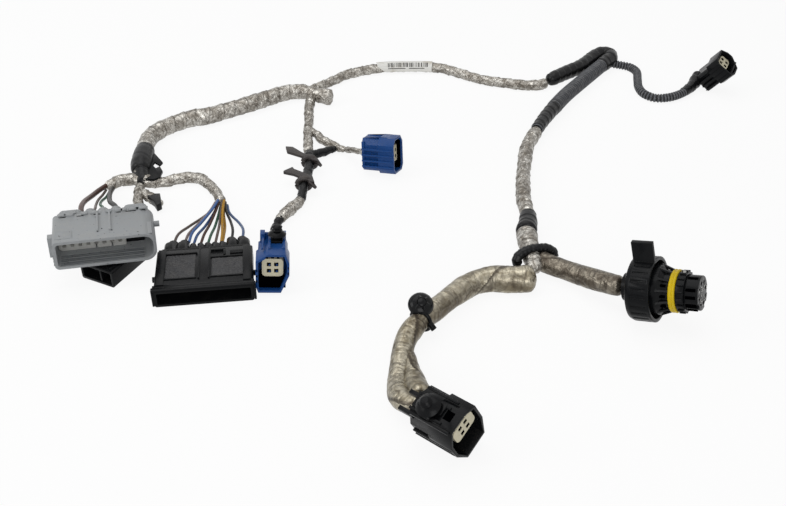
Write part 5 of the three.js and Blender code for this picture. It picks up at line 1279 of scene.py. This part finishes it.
class HARNESS_OT_plugs(bpy.types.Operator):
    """Gives the plugs and their push clips softened edges and moulded finishes, and adds their small details
    """
    bl_idname = "harness.plugs"
    bl_label = "Build Plugs and Clips"

    def execute(self, context):
        dress_nodes(MOULDED)
        plug_details()
        return {"FINISHED"}


class HARNESS_OT_label(bpy.types.Operator):
    """Wraps the paper label round the upper run and prints its bars"""
    bl_idname = "harness.label"
    bl_label = "Build Label"

    def execute(self, context):
        wrap_label()
        return {"FINISHED"}


class HARNESS_OT_stage(bpy.types.Operator):
    """Adds the pale table, the soft lights and the camera"""
    bl_idname = "harness.stage"
    bl_label = "Build Stage"

    def execute(self, context):
        build_floor()
        build_lights()
        build_camera()
        return {"FINISHED"}


def seen_rays(tree):
    """One for the rays that show the background: the camera's and those that metal and glass send on."""
    light = add(tree, "ShaderNodeLightPath").outputs
    passed_on = maths(tree, "MAXIMUM", light["Is Glossy Ray"], light["Is Transmission Ray"])
    return maths(tree, "MAXIMUM", light["Is Camera Ray"], passed_on)


def build_floor():
    """The pale table top, which holds the shadow of the harness."""
    mesh = bpy.data.meshes.new("table_top")
    half = TABLE_HALF
    corners = [(-half, -half, 0), (half, -half, 0), (half, half, 0), (-half, half, 0)]
    mesh.from_pydata(corners, [], [(0, 1, 2, 3)])
    material = bpy.data.materials.new("white_table")
    material.use_nodes = True
    tree = material.node_tree
    tree.nodes.clear()
    seen = seen_rays(tree)
    lit = add(tree, "ShaderNodeBsdfDiffuse", {"Color": opaque(linear("#f4f4f4"))})
    bright = add(tree, "ShaderNodeEmission", {"Color": WHITE, "Strength": 1.0})
    # Most of what the camera sees is plain white; the rest holds the shadow
    share = maths(tree, "MULTIPLY", seen, TABLE_WHITE)
    mixed = add(tree, "ShaderNodeMixShader", {0: share, 1: lit.outputs[0], 2: bright.outputs[0]})
    finish_material(tree, mixed)
    mesh.materials.append(material)
    floor = bpy.data.objects.new("table_top", mesh)
    floor.location.z = -TABLE_DROP
    bpy.context.collection.objects.link(floor)


def build_lights():
    """Three soft lamps and a white surrounding that lights the harness only a little."""
    for name, place, width, power in LAMPS:
        lamp = bpy.data.lights.new(name, "AREA")
        lamp.size = width
        lamp.energy = power
        made = bpy.data.objects.new(name, lamp)
        made.location = place
        made.rotation_euler = (Vector(place) * -1).to_track_quat("-Z", "Y").to_euler()
        bpy.context.collection.objects.link(made)
    world = bpy.data.worlds.new("studio")
    bpy.context.scene.world = world
    world.use_nodes = True
    tree = world.node_tree
    tree.nodes.clear()
    strength = ramp(tree, seen_rays(tree), 0.0, 1.0, WORLD_LIGHT, 1.0)
    sky = add(tree, "ShaderNodeBackground", {"Color": WHITE, "Strength": strength})
    output = add(tree, "ShaderNodeOutputWorld")
    tree.links.new(sky.outputs[0], output.inputs["Surface"])


def build_camera():
    """The camera of the photo."""
    data = bpy.data.cameras.new("photo_view")
    data.lens = 46.6
    data.sensor_width = 36.0
    data.clip_start = 0.01
    data.clip_end = 30.0
    camera = bpy.data.objects.new("photo_view", data)
    camera.location = CAMERA_PLACE
    camera.rotation_euler = (CAMERA_TILT, 0.0, 0.0)
    bpy.context.collection.objects.link(camera)
    bpy.context.scene.camera = camera
    bpy.context.scene.view_settings.view_transform = "Standard"


class HARNESS_PT_panel(bpy.types.Panel):
    """Lists the steps that build the harness"""
    bl_idname = "HARNESS_PT_panel"
    bl_label = "Harness"
    bl_space_type = "VIEW_3D"
    bl_region_type = "UI"
    bl_category = "Harness"

    def draw(self, context):
        for step in STEPS:
            self.layout.operator(step.bl_idname)
        for name in HarnessSizes.__annotations__:
            self.layout.prop(context.scene.harness_sizes, name)
        for name in HarnessColours.__annotations__:
            self.layout.prop(context.scene.harness_colours, name)


STEPS = (HARNESS_OT_runs, HARNESS_OT_wraps, HARNESS_OT_wires, HARNESS_OT_plugs,
         HARNESS_OT_label, HARNESS_OT_stage)
CLASSES = (HarnessSizes, HarnessColours, *STEPS, HARNESS_PT_panel)


def register():
    for item in CLASSES:
        bpy.utils.register_class(item)
    bpy.types.Scene.harness_sizes = bpy.props.PointerProperty(type=HarnessSizes)
    bpy.types.Scene.harness_colours = bpy.props.PointerProperty(type=HarnessColours)


def unregister():
    del bpy.types.Scene.harness_colours
    del bpy.types.Scene.harness_sizes
    for item in reversed(CLASSES):
        bpy.utils.unregister_class(item)


def main():
    register()
    bpy.ops.harness.runs()
    bpy.ops.harness.wraps()
    bpy.ops.harness.wires()
    bpy.ops.harness.plugs()
    bpy.ops.harness.label()
    bpy.ops.harness.stage()


if __name__ == "__main__":
    main()
